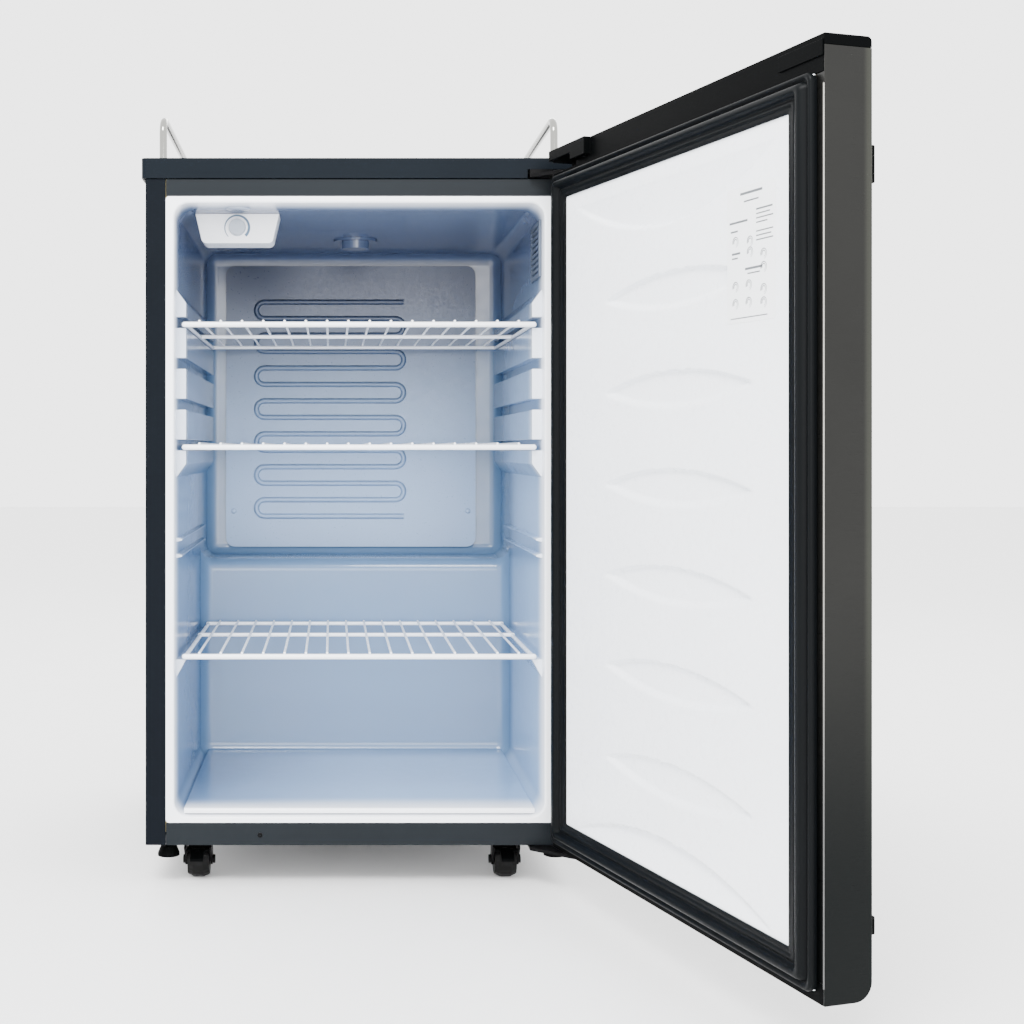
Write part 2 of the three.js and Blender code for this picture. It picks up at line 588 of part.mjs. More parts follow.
function condenserCoil() {
  const corners = [];
  for (let i = 0; i < coil.runs; i += 1) {
    const ends = i % 2 ? [coil.right, coil.left] : [coil.left, coil.right];
    ends.forEach((x) => corners.push([x, coil.y, cabinet.bottom + coil.rise + i * coil.pitch]));
  }
  return pipe(corners);
}
const filterDrier = () => turned(drier.profile, drier.sides).translate([drier.x, drier.y, 0]);
function suctionLine() {
  const x = compressor.x + suction.x;
  const { y, bendZ, endX, endZ } = suction;
  return pipe([[x, y, compressorSeat + suction.rise], [x, y, bendZ], [endX, y, bendZ], [endX, y, endZ]]);
}
function drainPan() {
  const { x, y, height } = compressor;
  const bottom = compressorBase + height + gap;
  const form = (inset, z) => block(
    [x - tray.left + inset, x + tray.right - inset], [y - tray.front + inset, y + tray.rear - inset], z,
  );
  const rim = bottom + tray.height;
  return cut(form(0, [bottom, rim]), form(tray.wall, [bottom + tray.wall, rim + overlap]));
}

// ---- hinges ------------------------------------------------------------------------------------

function hingeArm([from, to]) {
  const outline = new THREE.Shape([
    new THREE.Vector2(hinge.inner, hinge.tail), new THREE.Vector2(hinge.inner, -hinge.elbow),
    new THREE.Vector2(pivot.x - hinge.arm * 0.7, pivot.y - hinge.arm * 0.7),
  ]);
  outline.absarc(pivot.x, pivot.y, hinge.arm, 1.25 * Math.PI, 2 * Math.PI);
  outline.lineTo(halfWidth - sheet, -door.gasketGap / 2);
  outline.lineTo(halfWidth - sheet, hinge.tail);
  return prism(outline, 'z', [from, to], 6);
}
const hingePin = (from, to) => rod([pivot.x, pivot.y, from], [pivot.x, pivot.y, to], hinge.pin, 24);
function topHingeBracket() {
  const low = cabinet.top + gap;
  const across = [hinge.inner, hinge.inner + hinge.noseWidth];
  const nose = block(across, [-hinge.elbow - overlap, -worktop.front - gap], [low, low + hinge.noseHeight]);
  return join(hingeArm([low, low + hinge.plate]), nose, hingePin(low, low + hinge.topPin));
}
function bottomHingeBracket() {
  const top = cabinet.bottom - gap;
  const collar = rod([pivot.x, pivot.y, top - overlap], [pivot.x, pivot.y, door.bottom - 5 * gap], hinge.collar);
  const plate = join(hingeArm([top - hinge.plate, top]), collar, hingePin(top, door.bottom + hinge.bottomPin));
  return cut(plate, studHole(foot.right, top));
}

// ---- door, drawn closed: u runs from its hinge edge, e from its inner plane towards the cabinet --

const doorX = (u) => door.width / 2 - u;
const doorY = (e) => e - door.gasketGap;
const doorBlock = ([u0, u1], [e0, e1], z) => block([doorX(u1), doorX(u0)], [doorY(e0), doorY(e1)], z);

// The door's outer form, seen from the side, pulled in by a wall.
function doorForm(inset, [z0, z1]) {
  const front = doorY(-door.thickness + inset);
  const rear = doorY(0);
  const nose = door.noseRadius - inset;
  const crown = door.topRadius - inset;
  const shape = new THREE.Shape([new THREE.Vector2(rear, door.bottom + inset), new THREE.Vector2(rear, door.top - inset)]);
  shape.absarc(front + crown, door.top - inset - crown, crown, Math.PI / 2, Math.PI);
  shape.absarc(front + nose, door.bottom + inset + nose, nose, Math.PI, 1.5 * Math.PI);
  const half = door.width / 2 - inset;
  return prism(shape, 'x', [-half, half], 6).intersect(block([-half, half], [front - overlap, rear], [z0, z1]));
}
const capSeam = door.top - door.capEdge;
const capBase = door.top - door.capTall;
const hingePocket = () => doorBlock(
  [-overlap, hinge.pocketWidth], [-hinge.pocketDepth, hingeBlock.proud + overlap],
  [cabinet.top - 5 * gap, cabinet.top + hinge.pocketHeight],
);
const undersideFront = -door.thickness + door.noseRadius + 1;
const crescentEdges = [
  { chord: door.top - doorLiner.top - crescent.topEdge, dip: crescent.topDip, sign: -1 },
  { chord: door.bottom + doorLiner.bottom + crescent.bottomEdge, dip: crescent.bottomDip, sign: 1 },
];
// Each crescent is a chord and an arc. Grown, both move outwards by the same amount.
function crescents(grow, [e0, e1]) {
  const half = (crescent.right - crescent.left) / 2;
  const middle = doorX((crescent.left + crescent.right) / 2);
  return crescentEdges.map(({ chord, dip, sign }) => {
    const radius = (half * half + dip * dip) / (2 * dip);
    const spread = Math.acos((radius - dip - grow) / (radius + grow));
    const shape = new THREE.Shape();
    const heading = (sign * Math.PI) / 2;
    shape.absarc(middle, chord + sign * (dip - radius), radius + grow, heading - spread, heading + spread);
    return prism(shape, 'y', [doorY(e0), doorY(e1)], 10);
  });
}
const bushHole = (from, to) => rod([pivot.x, pivot.y, from], [pivot.x, pivot.y, to], hinge.pin + hinge.play, 24);

function doorSkin() {
  const inside = doorForm(sheet, [door.bottom + sheet, capSeam + overlap]);
  const shell = cut(doorForm(0, [door.bottom, capSeam]), inside);
  const sides = [door.hem, door.width - door.hem];
  const rear = doorBlock([0, door.width], [-sheet, 0], [door.bottom, capBase]);
  const back = doorForm(0, [door.bottom, capBase]).intersect(rear);
  const panel = doorBlock(sides, [-sheet - overlap, overlap], [door.bottom + door.hem, capBase + overlap]);
  const underside = doorBlock(
    [2 * sheet, door.width - 2 * sheet], [undersideFront, overlap],
    [door.bottom - overlap, door.bottom + door.footTall + gap],
  );
  const headroom = doorBlock([sheet, door.width - sheet], [-sheet - overlap, overlap], [capBase, capSeam + overlap]);
  const bottomBush = bushHole(door.bottom - overlap, door.bottom + hinge.bottomPin + 1);
  return cut(join(shell, back), panel, underside, headroom, hingePocket(), bottomBush);
}
function doorTopCap() {
  const crown = doorForm(0, [capSeam + gap, door.top]);
  const inset = sheet + gap;
  const plug = doorBlock(
    [inset, door.width - inset], [-door.thickness + inset, 0], [capBase + gap, capSeam + 2 * gap],
  );
  const nearHinge = doorBlock(
    [hingeBlock.from, hingeBlock.to], [-overlap, hingeBlock.proud], [door.top - hingeBlock.tall, door.top],
  );
  const bush = bushHole(capBase, cabinet.top + hinge.topPin + 5 * gap);
  return cut(join(crown, plug, nearHinge), hingePocket(), bush);
}
function doorBottomCap() {
  const body = doorBlock(
    [2 * sheet + gap, door.width - 2 * sheet - gap], [undersideFront + gap, 0],
    [door.bottom, door.bottom + door.footTall],
  );
  return cut(body, bushHole(door.bottom - overlap, door.bottom + hinge.bottomPin + 1));
}
// The lens-shaped ribs pressed into the door's liner, grown by a wall where they leave room for it.
function pressedRibs(grow, [e0, e1]) {
  const middle = doorX((relief.left + relief.right) / 2);
  const half = (relief.right - relief.left) / 2;
  const rise = relief.ribHeight / 2;
  const radius = (half * half + rise * rise) / (2 * rise);
  const spread = Math.acos((radius - rise) / (radius + grow));
  return relief.ribs.map((level) => {
    const shape = new THREE.Shape();
    shape.absarc(middle, level + rise - radius, radius + grow, Math.PI / 2 - spread, Math.PI / 2 + spread);
    shape.absarc(middle, level - rise + radius, radius + grow, 1.5 * Math.PI - spread, 1.5 * Math.PI + spread);
    return prism(shape, 'y', [doorY(e0), doorY(e1)], 6);
  });
}
function doorFoam() {
  const inset = sheet + gap;
  const back = -sheet - gap;
  const bulk = doorForm(inset, [door.bottom + inset, capBase - gap]).intersect(
    doorBlock([0, door.width], [-door.thickness, back], [door.bottom, door.top]),
  );
  const underside = doorBlock(
    [0, door.width], [undersideFront - overlap, 0], [0, door.bottom + door.footTall + gap],
  );
  const hollows = crescents(liner.wall + 3 * gap, [-crescent.depth - liner.wall, overlap]);
  const ribBack = doorLiner.seat - relief.ribDepth - gap;
  const pans = pressedRibs(doorLiner.wall + 3 * gap, [ribBack, overlap]);
  return cut(bulk, underside, hingePocket(), ...hollows, ...pans);
}
function doorLinerPanel() {
  const e = [doorLiner.seat, doorLiner.seat + doorLiner.wall];
  const u = [doorLiner.hinge, door.width - doorLiner.free];
  const z = [door.bottom + doorLiner.bottom, door.top - doorLiner.top];
  const panel = prism(rounded([doorX(u[1]), doorX(u[0])], z, doorLiner.corner), 'y', e.map(doorY));
  const ribFloor = e[1] - relief.ribDepth;
  const pans = pressedRibs(doorLiner.wall, [ribFloor - doorLiner.wall, e[1]]);
  const ribs = pressedRibs(0, [ribFloor, e[1] + overlap]);
  const bowls = crescents(liner.wall, [-crescent.depth + 2 * gap, e[1]]);
  const hollows = crescents(0, [-crescent.depth + 2 * gap + liner.wall, e[1] + overlap]);
  return cut(join(panel, ...pans, ...bowls), ...hollows, ...ribs);
}
function gasketRing(inset, width, [e0, e1]) {
  const u = [gasket.hinge + inset, door.width - gasket.free - inset];
  const z = [door.bottom + gasket.bottom + inset, door.top - gasket.top - inset];
  const ring = (du0, du1, dz) => rounded(
    [doorX(u[1] - du1), doorX(u[0] + du0)], [z[0] + dz, z[1] - dz], gasket.corner,
  );
  const { hinge: atHinge, free: atFree, ends } = width;
  return cut(
    prism(ring(0, 0, 0), 'y', [doorY(e0), doorY(e1)], 3),
    prism(ring(atHinge, atFree, ends), 'y', [doorY(e0 - overlap), doorY(e1 + overlap)], 3),
  );
}
function doorGasket() {
  const seat = doorLiner.seat + doorLiner.wall + gap;
  const wide = { hinge: gasket.bandHinge, free: gasket.bandFree, ends: gasket.band };
  const narrow = { hinge: gasket.bead, free: gasket.bead, ends: gasket.bead };
  const base = gasketRing(0, wide, [seat, seat + gasket.base]);
  const bead = gasketRing(gasket.beadInset, narrow, [seat + gasket.base / 2, gasket.crest]);
  return join(base, bead);
}
function blankingCover() {
  const low = capBase + blankCover.rise;
  return doorBlock([blankCover.from, blankCover.to], [gap, blankCover.proud], [low, low + blankCover.tall]);
}

const handleCentre = door.width - handle.inset;
const handleSpan = [handleCentre - handle.width / 2, handleCentre + handle.width / 2];
function handleBracket(z) {
  const e = [-door.thickness - handle.reach, -door.thickness - gap];
  const outline = rounded(handleSpan.map(doorX).sort((a, b) => a - b), e.map(doorY), handle.corner);
  return prism(outline, 'z', z, 3);
}
function handleBar() {
  const face = -door.thickness - handle.reach + handle.proud;
  const e = [face, face + handle.bar];
  const u = [handleSpan[0] + handle.narrower, handleSpan[1] - handle.narrower];
  const z = [handle.bottom + handle.bottomBracket + gap, handle.top - handle.topBracket - gap];
  return prism(rounded(u.map(doorX).sort((a, b) => a - b), e.map(doorY), handle.corner), 'z', z, 3);
}

// ---- shelves -----------------------------------------------------------------------------------

const shelfHalf = linerHalf - shelf.sideReach;
const hexagon = (a, b, radius) => Array.from({ length: 6 }, (_, i) => {
  const angle = (i * Math.PI) / 3;
  return [a + radius * Math.cos(angle), b + radius * Math.sin(angle)];
});
function wireShelf(level, rear) {
  const { front, barRadius, wireRadius } = shelf;
  const sideBar = shelfHalf - barRadius;
  const bars = [front, front + shelf.crossBar, rear].filter((y, i) => i !== 1 || y < rear - 40);
  const flat = Math.sin(Math.PI / 3);
  const across = bars.map((y, i) => {
    const radius = i ? barRadius - 1 : barRadius;
    return prism(hexagon(y, level + (barRadius - radius) * flat, radius), 'x', [-shelfHalf, shelfHalf]);
  });
  const sides = [-1, 1].map((side) => prism(
    hexagon(side * sideBar, level, barRadius - 1), 'y', [front, rear],
  ));
  const seat = level + barRadius * flat - 2 * wireRadius - 0.5;
  const wires = Array.from({ length: shelf.wires }, (_, i) => {
    const x = (shelfHalf - shelf.wireInset) * ((2 * i) / (shelf.wires - 1) - 1);
    return block([x - wireRadius, x + wireRadius], [front, rear], [seat, seat + 2 * wireRadius]);
  });
  return join(across[0], ...across.slice(1), ...sides, ...wires);
}

// ---- casters and feet --------------------------------------------------------------------------

const plateTop = cabinet.bottom - gap;
const plateBottom = plateTop - caster.plateThickness;
const raceTop = plateBottom - gap;
const raceBottom = raceTop - caster.racewayThickness;
function casterPlate() {
  const half = caster.plate / 2;
  const plate = block([-half, half], [-half, half], [plateBottom, plateTop]);
  return join(plate, rod([0, 0, raceBottom + gap], [0, 0, plateBottom + overlap], caster.kingpin, 12));
}
function casterFork() {
  const inside = caster.width / 2 + caster.sideGap;
  const outside = inside + caster.leg;
  const race = rod([0, 0, raceBottom], [0, 0, raceTop], caster.raceway, 12);
  const bore = rod([0, 0, raceBottom - overlap], [0, 0, raceTop + overlap], caster.kingpin + 2 * gap, 12);
  const legOutline = [
    [-10, raceTop - 1], [-16, raceBottom - 4], [caster.trail - 7, caster.radius - 5], [caster.trail, caster.radius - 7],
    [caster.trail + 7, caster.radius - 3], [10, raceTop - 1],
  ];
  const legs = [[-outside, -inside], [inside, outside]].map((x) => prism(legOutline, 'x', x));
  const reach = outside + caster.headDepth;
  const axle = rod([-reach, caster.trail, caster.radius], [reach, caster.trail, caster.radius], caster.axle, 10);
  const heads = [-1, 1].map((side) => rod(
    [side * outside, caster.trail, caster.radius], [side * reach, caster.trail, caster.radius], caster.axle + caster.axleHead, 6,
  ));
  return join(cut(race, bore), ...legs, axle, ...heads);
}
function casterWheel() {
  const half = caster.width / 2;
  const full = caster.radius / Math.cos(Math.PI / caster.sides);
  const bore = caster.axle + gap;
  const profile = [
    [bore, -half], [full * 0.85, -half], [full, -half / 2], [full, half / 2], [full * 0.85, half], [bore, half],
    [bore, -half],
  ];
  const wheel = new THREE.LatheGeometry(profile.map(([r, h]) => new THREE.Vector2(r, h)), caster.sides);
  wheel.rotateZ(Math.PI / 2);
  wheel.rotateX(Math.PI / caster.sides);
  wheel.translate(0, caster.trail, caster.radius);
  return toSolid(wheel);
}
function brakeLever() {
  const inside = caster.width / 2 + caster.sideGap - gap;
  const { y, z, reach, drop, half, shaft } = brake;
  const outline = [[y + 3, z + 2], [y - 3, z + 3], [y - reach, z - drop + 3], [y - reach, z - drop], [y - 3, z - 2]];
  return join(prism(outline, 'x', [-half, half]), rod([-inside, y, z], [inside, y, z], shaft, 10));
}
function levellingFoot() {
  return turned([
    [0, foot.bottom], [foot.radius, foot.bottom], [foot.radius, foot.bottom + 3], [foot.neck, foot.top],
    [foot.stud, foot.top], [foot.stud, foot.studTop], [0, foot.studTop],
  ], 20);
}

// ---- assembly ----------------------------------------------------------------------------------

place('side_panel_left', sidePanel(-1), paint.slate);
place('side_panel_right', sidePanel(1), paint.slate);
place('back_panel', backPanel(), paint.slate);
place('base_pan', basePan(), paint.zinc);
place('front_top_beam', frontBeam(linerTop + gap, cabinet.top - gap), paint.beam);
place('front_bottom_beam', frontBeam(cabinet.bottom, cabinet.beamBottom - gap), paint.beam);
place('worktop', worktopShell(), paint.slate);
place('inner_liner', innerLiner(), paint.white);
place('insulation_foam', insulationFoam(), paint.foam);
place('evaporator_plate', evaporatorPlate(), paint.aluminium);
place('thermostat_housing', thermostatHousing(), paint.white);
place('thermostat_switch', thermostatSwitch(), paint.black);
place('thermostat_knob', thermostatKnob(), paint.grey);
place('fan_grille', fanGrille(), paint.white);
place('fan_frame', fanFrame(), paint.black);
place('fan_impeller', fanImpeller(), paint.black);
place('tower_sleeve', towerSleeve(), paint.white);
place('ceiling_plug', ceilingPlug(), paint.white);
place('tower_hole_cap', towerHoleCap(), paint.black);
place('floor_plate', floorPlateSolid(), paint.white);
place('guard_rail', guardRail(), paint.chrome);
place('machine_shroud', machineShroud(), paint.zinc);
place('rear_cover', rearCover(), paint.slate);
place('power_inlet', powerInlet(), paint.black);
place('compressor', compressorSolid(), paint.black);
place('condenser_coil', condenserCoil(), paint.black);
place('filter_drier', filterDrier(), paint.copper);
place('suction_line', suctionLine(), paint.copper);
place('drain_pan', drainPan(), paint.black);
place('top_hinge_bracket', topHingeBracket(), paint.black);
place('bottom_hinge_bracket', bottomHingeBracket(), paint.black);

place('shelf_top', wireShelf(shelf.top, shelf.back), paint.white);
place('shelf_middle', wireShelf(shelf.middle, shelf.back), paint.white);
place('shelf_low', wireShelf(shelf.low, shelf.lowRear), paint.white);

for (const [name, x] of [['foot_left', foot.left], ['foot_right', foot.right]]) {
  place(name, levellingFoot(), paint.black).position.set(x, foot.y, 0);
}
const casters = [
  ['front_left', caster.left, caster.front], ['front_right', caster.right, caster.front],
  ['rear_left', caster.left, caster.rear], ['rear_right', caster.right, caster.rear],
];
for (const [name, x, y] of casters) {
  const stand = new THREE.Group();
  stand.position.set(x, y, 0);
  part.add(stand);
  place(`caster_plate_${name}`, casterPlate(), paint.zinc, stand);
  place(`caster_fork_${name}`, casterFork(), paint.zinc, stand);
  place(`caster_wheel_${name}`, casterWheel(), paint.black, stand);
  if (name.startsWith('front')) place(`brake_lever_${name}`, brakeLever(), paint.black, stand);
}

// The door stands open about its hinge pins.
const doorGroup = new THREE.Group();
doorGroup.position.set(pivot.x, pivot.y, 0);
doorGroup.rotation.z = THREE.MathUtils.degToRad(door.openAngle);
part.add(doorGroup);
const leaf = new THREE.Group();
leaf.position.set(-pivot.x, -pivot.y, 0);
doorGroup.add(leaf);
place('door_skin', doorSkin(), paint.doorSteel, leaf);
place('door_foam', doorFoam(), paint.foam, leaf);
place('door_liner', doorLinerPanel(), paint.white, leaf);
place('door_gasket', doorGasket(), paint.rubber, leaf);
place('door_top_cap', doorTopCap(), paint.black, leaf);
place('door_bottom_cap', doorBottomCap(), paint.black, leaf);
place('hinge_blanking_cover', blankingCover(), paint.black, leaf);
place('handle_bracket_top', handleBracket([handle.top - handle.topBracket, handle.top]), paint.black, leaf);
place('handle_bracket_bottom', handleBracket([handle.bottom, handle.bottom + handle.bottomBracket]), paint.black, leaf);
place('handle_bar', handleBar(), paint.doorSteel, leaf);

// The origin is the middle of the base of the whole object's box.
part.updateMatrixWorld(true);
const bounds = new THREE.Box3().setFromObject(part, true);
const middle = bounds.getCenter(new THREE.Vector3());
part.position.set(-middle.x, -middle.y, -bounds.min.z);

export default part;
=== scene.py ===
import json
import math

import bmesh
import bpy
from mathutils import Matrix, Vector


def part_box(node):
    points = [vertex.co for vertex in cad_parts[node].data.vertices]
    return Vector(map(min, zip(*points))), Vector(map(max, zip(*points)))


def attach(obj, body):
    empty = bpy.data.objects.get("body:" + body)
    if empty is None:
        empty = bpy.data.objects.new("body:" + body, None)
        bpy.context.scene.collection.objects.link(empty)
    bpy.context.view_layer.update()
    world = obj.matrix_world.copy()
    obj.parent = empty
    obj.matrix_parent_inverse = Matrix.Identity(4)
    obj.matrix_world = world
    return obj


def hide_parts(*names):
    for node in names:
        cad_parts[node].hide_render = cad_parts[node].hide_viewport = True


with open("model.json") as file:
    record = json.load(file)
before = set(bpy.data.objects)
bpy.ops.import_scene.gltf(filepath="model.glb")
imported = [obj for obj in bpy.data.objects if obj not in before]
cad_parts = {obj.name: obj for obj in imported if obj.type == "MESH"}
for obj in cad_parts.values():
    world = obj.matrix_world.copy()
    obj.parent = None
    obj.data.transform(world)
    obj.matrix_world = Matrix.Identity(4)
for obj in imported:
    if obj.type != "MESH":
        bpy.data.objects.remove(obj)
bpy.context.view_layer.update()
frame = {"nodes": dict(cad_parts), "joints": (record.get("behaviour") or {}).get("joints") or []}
nodes = frame["nodes"]
mm = 0.001
print("frame loaded")

# The cabinet's own axes: x from its middle, y back from its front face, z up from the floor.
worktopLow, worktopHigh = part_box("worktop")
middleX = (worktopLow.x + worktopHigh.x) / 2
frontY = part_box("front_top_beam")[0].y


def at(x, y, z):
    return Vector((middleX + x * mm, frontY + y * mm, z * mm))


# The door is drawn shut, u from its hinge edge and e from its inner plane, and then swung open.
hingeJoint = next(j for j in frame["joints"] if j["name"] == "door_hinge")
hingeAxis = Vector(hingeJoint["pos_m"])
openAngle = math.radians(-hingeJoint["range_deg"][0])
doorShape = {"width": 532, "inner": -12}


def onDoor(u, e, z):
    return at(doorShape["width"] / 2 - u, doorShape["inner"] + e, z)


def swingOpen(bm):
    bmesh.ops.rotate(bm, verts=bm.verts, cent=hingeAxis, matrix=Matrix.Rotation(openAngle, 3, "Z"))


# mesh helpers
def finishPiece(name, bm, material, body, stands=(), smooth=35, weighted=False, recalc=True):
    if recalc:
        bmesh.ops.remove_doubles(bm, verts=bm.verts, dist=0.01 * mm)
        bmesh.ops.recalc_face_normals(bm, faces=bm.faces)
    mesh = bpy.data.meshes.new(name)
    bm.to_mesh(mesh)
    bm.free()
    mesh.shade_smooth()
    mesh.set_sharp_from_angle(angle=math.radians(smooth))
    mesh.materials.append(material)
    piece = bpy.data.objects.new(name, mesh)
    bpy.context.scene.collection.objects.link(piece)
    if weighted:
        modifier = piece.modifiers.new("evenNormals", "WEIGHTED_NORMAL")
        modifier.keep_sharp = True
    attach(piece, body)
    if stands:
        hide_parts(*stands)
    return piece


def bevelSharp(bm, width, segments=3, sharp=30, keep=lambda edge: True):
    edges = [e for e in bm.edges if e.is_manifold and e.calc_face_angle(0) > math.radians(sharp) and keep(e)]
    bmesh.ops.bevel(
        bm, geom=edges, offset=width * mm, segments=segments, profile=0.5, affect="EDGES", material=-1,
        clamp_overlap=True, loop_slide=True,
    )


def copyOf(node):
    bm = bmesh.new()
    bm.from_mesh(nodes[node].data)
    bmesh.ops.remove_doubles(bm, verts=bm.verts, dist=0.02 * mm)
    bmesh.ops.dissolve_limit(
        bm, angle_limit=math.radians(0.5), verts=bm.verts, edges=bm.edges, use_dissolve_boundaries=False,
    )
    return bm


# A CAD piece with its edges broken, standing for the plain one.
def softened(node, name, material, body, width, segments=3, sharp=30):
    bm = copyOf(node)
    bevelSharp(bm, width, segments, sharp)
    return finishPiece(name, bm, material, body, (node,), smooth=50, weighted=True, recalc=False)


def addRod(bm, start, end, radius, sides=16, endRadius=None):
    along = end - start
    turn = along.to_track_quat("Z", "Y").to_matrix().to_4x4()
    last = radius if endRadius is None else endRadius
    return bmesh.ops.create_cone(
        bm, cap_ends=True, segments=sides, radius1=radius * mm, radius2=last * mm, depth=along.length,
        matrix=Matrix.Translation((start + end) / 2) @ turn,
    )["verts"]


# A profile of (radius, height) pairs turned about an axis that starts at a point.
def addTurned(bm, profile, origin, axis, sides=48):
    axis = axis.normalized()
    side = axis.orthogonal().normalized()
    chain = [bm.verts.new(origin + side * r * mm + axis * h * mm) for r, h in profile]
    edges = [bm.edges.new(pair) for pair in zip(chain, chain[1:])]
    bmesh.ops.spin(
        bm, geom=chain + edges, cent=origin, axis=axis, angle=2 * math.pi, steps=sides, use_merge=True,
    )


# A round pipe through a list of stops, with round bends.
def addPipe(bm, stops, bend, radius, sides=16, bendSteps=8):
    heading = (stops[1] - stops[0]).normalized()
    turn = heading.to_track_quat("Z", "Y").to_matrix().to_4x4()
    ring = bmesh.ops.create_circle(
        bm, cap_ends=True, segments=sides, radius=radius * mm, matrix=Matrix.Translation(stops[0]) @ turn,
    )["verts"]

    def nextRing(ring):
        edges = list({e for v in ring for e in v.link_edges if e.other_vert(v) in ring and e.is_boundary})
        made = bmesh.ops.extrude_edge_only(bm, edges=edges)["geom"]
        return [v for v in made if isinstance(v, bmesh.types.BMVert)]

    spot = stops[0].copy()
    for i in range(1, len(stops)):
        heading = (stops[i] - stops[i - 1]).normalized()
        if i == len(stops) - 1:
            ring = nextRing(ring)
            bmesh.ops.translate(bm, verts=ring, vec=stops[i] - spot)
            break
        after = (stops[i + 1] - stops[i]).normalized()
        angle = heading.angle(after)
        arcStart = stops[i] - heading * bend * mm * math.tan(angle / 2)
        ring = nextRing(ring)
        bmesh.ops.translate(bm, verts=ring, vec=arcStart - spot)
        axis = heading.cross(after).normalized()
        centre = arcStart + axis.cross(heading) * bend * mm
        step = Matrix.Rotation(angle / bendSteps, 3, axis)
        spot = arcStart
        for _ in range(bendSteps):
            ring = nextRing(ring)
            bmesh.ops.rotate(bm, verts=ring, cent=centre, matrix=step)
            spot = centre + step @ (spot - centre)
    bmesh.ops.contextual_create(bm, geom=[e for e in bm.edges if e.is_boundary and e.verts[0] in ring])


# The points round a rectangle with round corners, at one depth of a placing function.
def roundRing(place, spanA, spanB, radius, depth, corner=6):
    (a0, a1), (b0, b1) = spanA, spanB
    centres = [
        (a1 - radius, b0 + radius, -90), (a1 - radius, b1 - radius, 0),
        (a0 + radius, b1 - radius, 90), (a0 + radius, b0 + radius, 180),
    ]
    points = []
    for a, b, start in centres:
        for i in range(corner + 1):
            angle = math.radians(start + 90 * i / corner)
            points.append(place(a + radius * math.cos(angle), depth, b + radius * math.sin(angle)))
    return points


# A skin from each ring of points to the next, closed in a loop or with a face at each end.
def addRings(bm, rings, looped=False):
    rows = [[bm.verts.new(p) for p in ring] for ring in rings]
    for first, second in zip(rows, rows[1:] + (rows[:1] if looped else [])):
        for i in range(len(first)):
            bm.faces.new((first[i - 1], first[i], second[i], second[i - 1]))
    if not looped:
        bm.faces.new(rows[0])
        bm.faces.new(rows[-1][::-1])


def addPrism(bm, outline, shift):
    face = bm.faces.new([bm.verts.new(p) for p in outline])
    made = bmesh.ops.extrude_face_region(bm, geom=[face])["geom"]
    bmesh.ops.translate(bm, verts=[v for v in made if isinstance(v, bmesh.types.BMVert)], vec=shift)


# finishes
def makeFinish(name, look):
    material = bpy.data.materials.new(name)
    material.use_nodes = True
    tree = material.node_tree
    link = tree.links.new
    shader = tree.nodes["Principled BSDF"]
    shader.inputs["Metallic"].default_value = look.get("metallic", 0)
    shader.inputs["Coat Weight"].default_value = look.get("coat", 0)
    shader.inputs["Coat Roughness"].default_value = look.get("coatRoughness", 0.1)
    shader.inputs["Specular IOR Level"].default_value = look.get("specular", 0.5)
    shader.inputs["Anisotropic"].default_value = look.get("anisotropic", 0)
    coords = tree.nodes.new("ShaderNodeTexCoord")
    mapping = tree.nodes.new("ShaderNodeMapping")
    mapping.inputs["Rotation"].default_value = (0, 0, look.get("turn", 0))
    mapping.inputs["Scale"].default_value = look.get("stretch", (1, 1, 1))
    link(coords.outputs["Object"], mapping.inputs["Vector"])

    def noise(scale, detail, source):
        texture = tree.nodes.new("ShaderNodeTexNoise")
        texture.inputs["Scale"].default_value = scale
        texture.inputs["Detail"].default_value = detail
        link(source, texture.inputs["Vector"])
        return texture.outputs["Fac"]

    def spread(value, low, high):
        ramp = tree.nodes.new("ShaderNodeMapRange")
        ramp.inputs["From Min"].default_value = 0.3
        ramp.inputs["From Max"].default_value = 0.7
        ramp.inputs["To Min"].default_value = low
        ramp.inputs["To Max"].default_value = high
        link(value, ramp.inputs["Value"])
        return ramp.outputs["Result"]

    cloud = noise(look.get("cloudScale", 9), 3, coords.outputs["Object"])
    mix = tree.nodes.new("ShaderNodeMix")
    mix.data_type = "RGBA"
    colour = Vector(look["colour"])
    shade = look.get("shade", 0.06)
    mix.inputs["A"].default_value = (*(colour * (1 - shade)), 1)
    mix.inputs["B"].default_value = (*(colour * (1 + shade)), 1)
    link(spread(cloud, 0, 1), mix.inputs["Factor"])
    tint = mix.outputs["Result"]
    # Each fade paints light or shade into the colour: along one object axis it blends towards a darker colour
    # for painted shade or a lighter one for a painted highlight; with nested set, later fades act only where
    # the first has reached.
    parts = tree.nodes.new("ShaderNodeSeparateXYZ")
    link(coords.outputs["Object"], parts.inputs["Vector"])
    within = None
    for axis, start, end, paintedLightColour in look.get("paintedLightFades", ()):
        fade = tree.nodes.new("ShaderNodeMapRange")
        fade.interpolation_type = "SMOOTHSTEP"
        fade.inputs["From Min"].default_value = start
        fade.inputs["From Max"].default_value = end
        link(parts.outputs[axis], fade.inputs["Value"])
        if within:
            link(within, fade.inputs["To Max"])
        if look.get("nested"):
            within = within or fade.outputs["Result"]
        layer = tree.nodes.new("ShaderNodeMix")
        layer.data_type = "RGBA"
        layer.inputs["B"].default_value = (*paintedLightColour, 1)
        link(fade.outputs["Result"], layer.inputs["Factor"])
        link(tint, layer.inputs["A"])
        tint = layer.outputs["Result"]
    link(tint, shader.inputs["Base Color"])
    grain = noise(look.get("grainScale", 700), look.get("grainDetail", 2), mapping.outputs["Vector"])
    rough = look["roughness"]
    vary = rough * look.get("roughVary", 0.15)
    link(spread(grain, rough - vary, rough + vary), shader.inputs["Roughness"])
    bump = tree.nodes.new("ShaderNodeBump")
    bump.inputs["Strength"].default_value = look.get("bump", 0.1)
    bump.inputs["Distance"].default_value = look.get("bumpDepth", 0.2) * mm
    link(grain, bump.inputs["Height"])
    link(bump.outputs["Normal"], shader.inputs["Normal"])
    return material


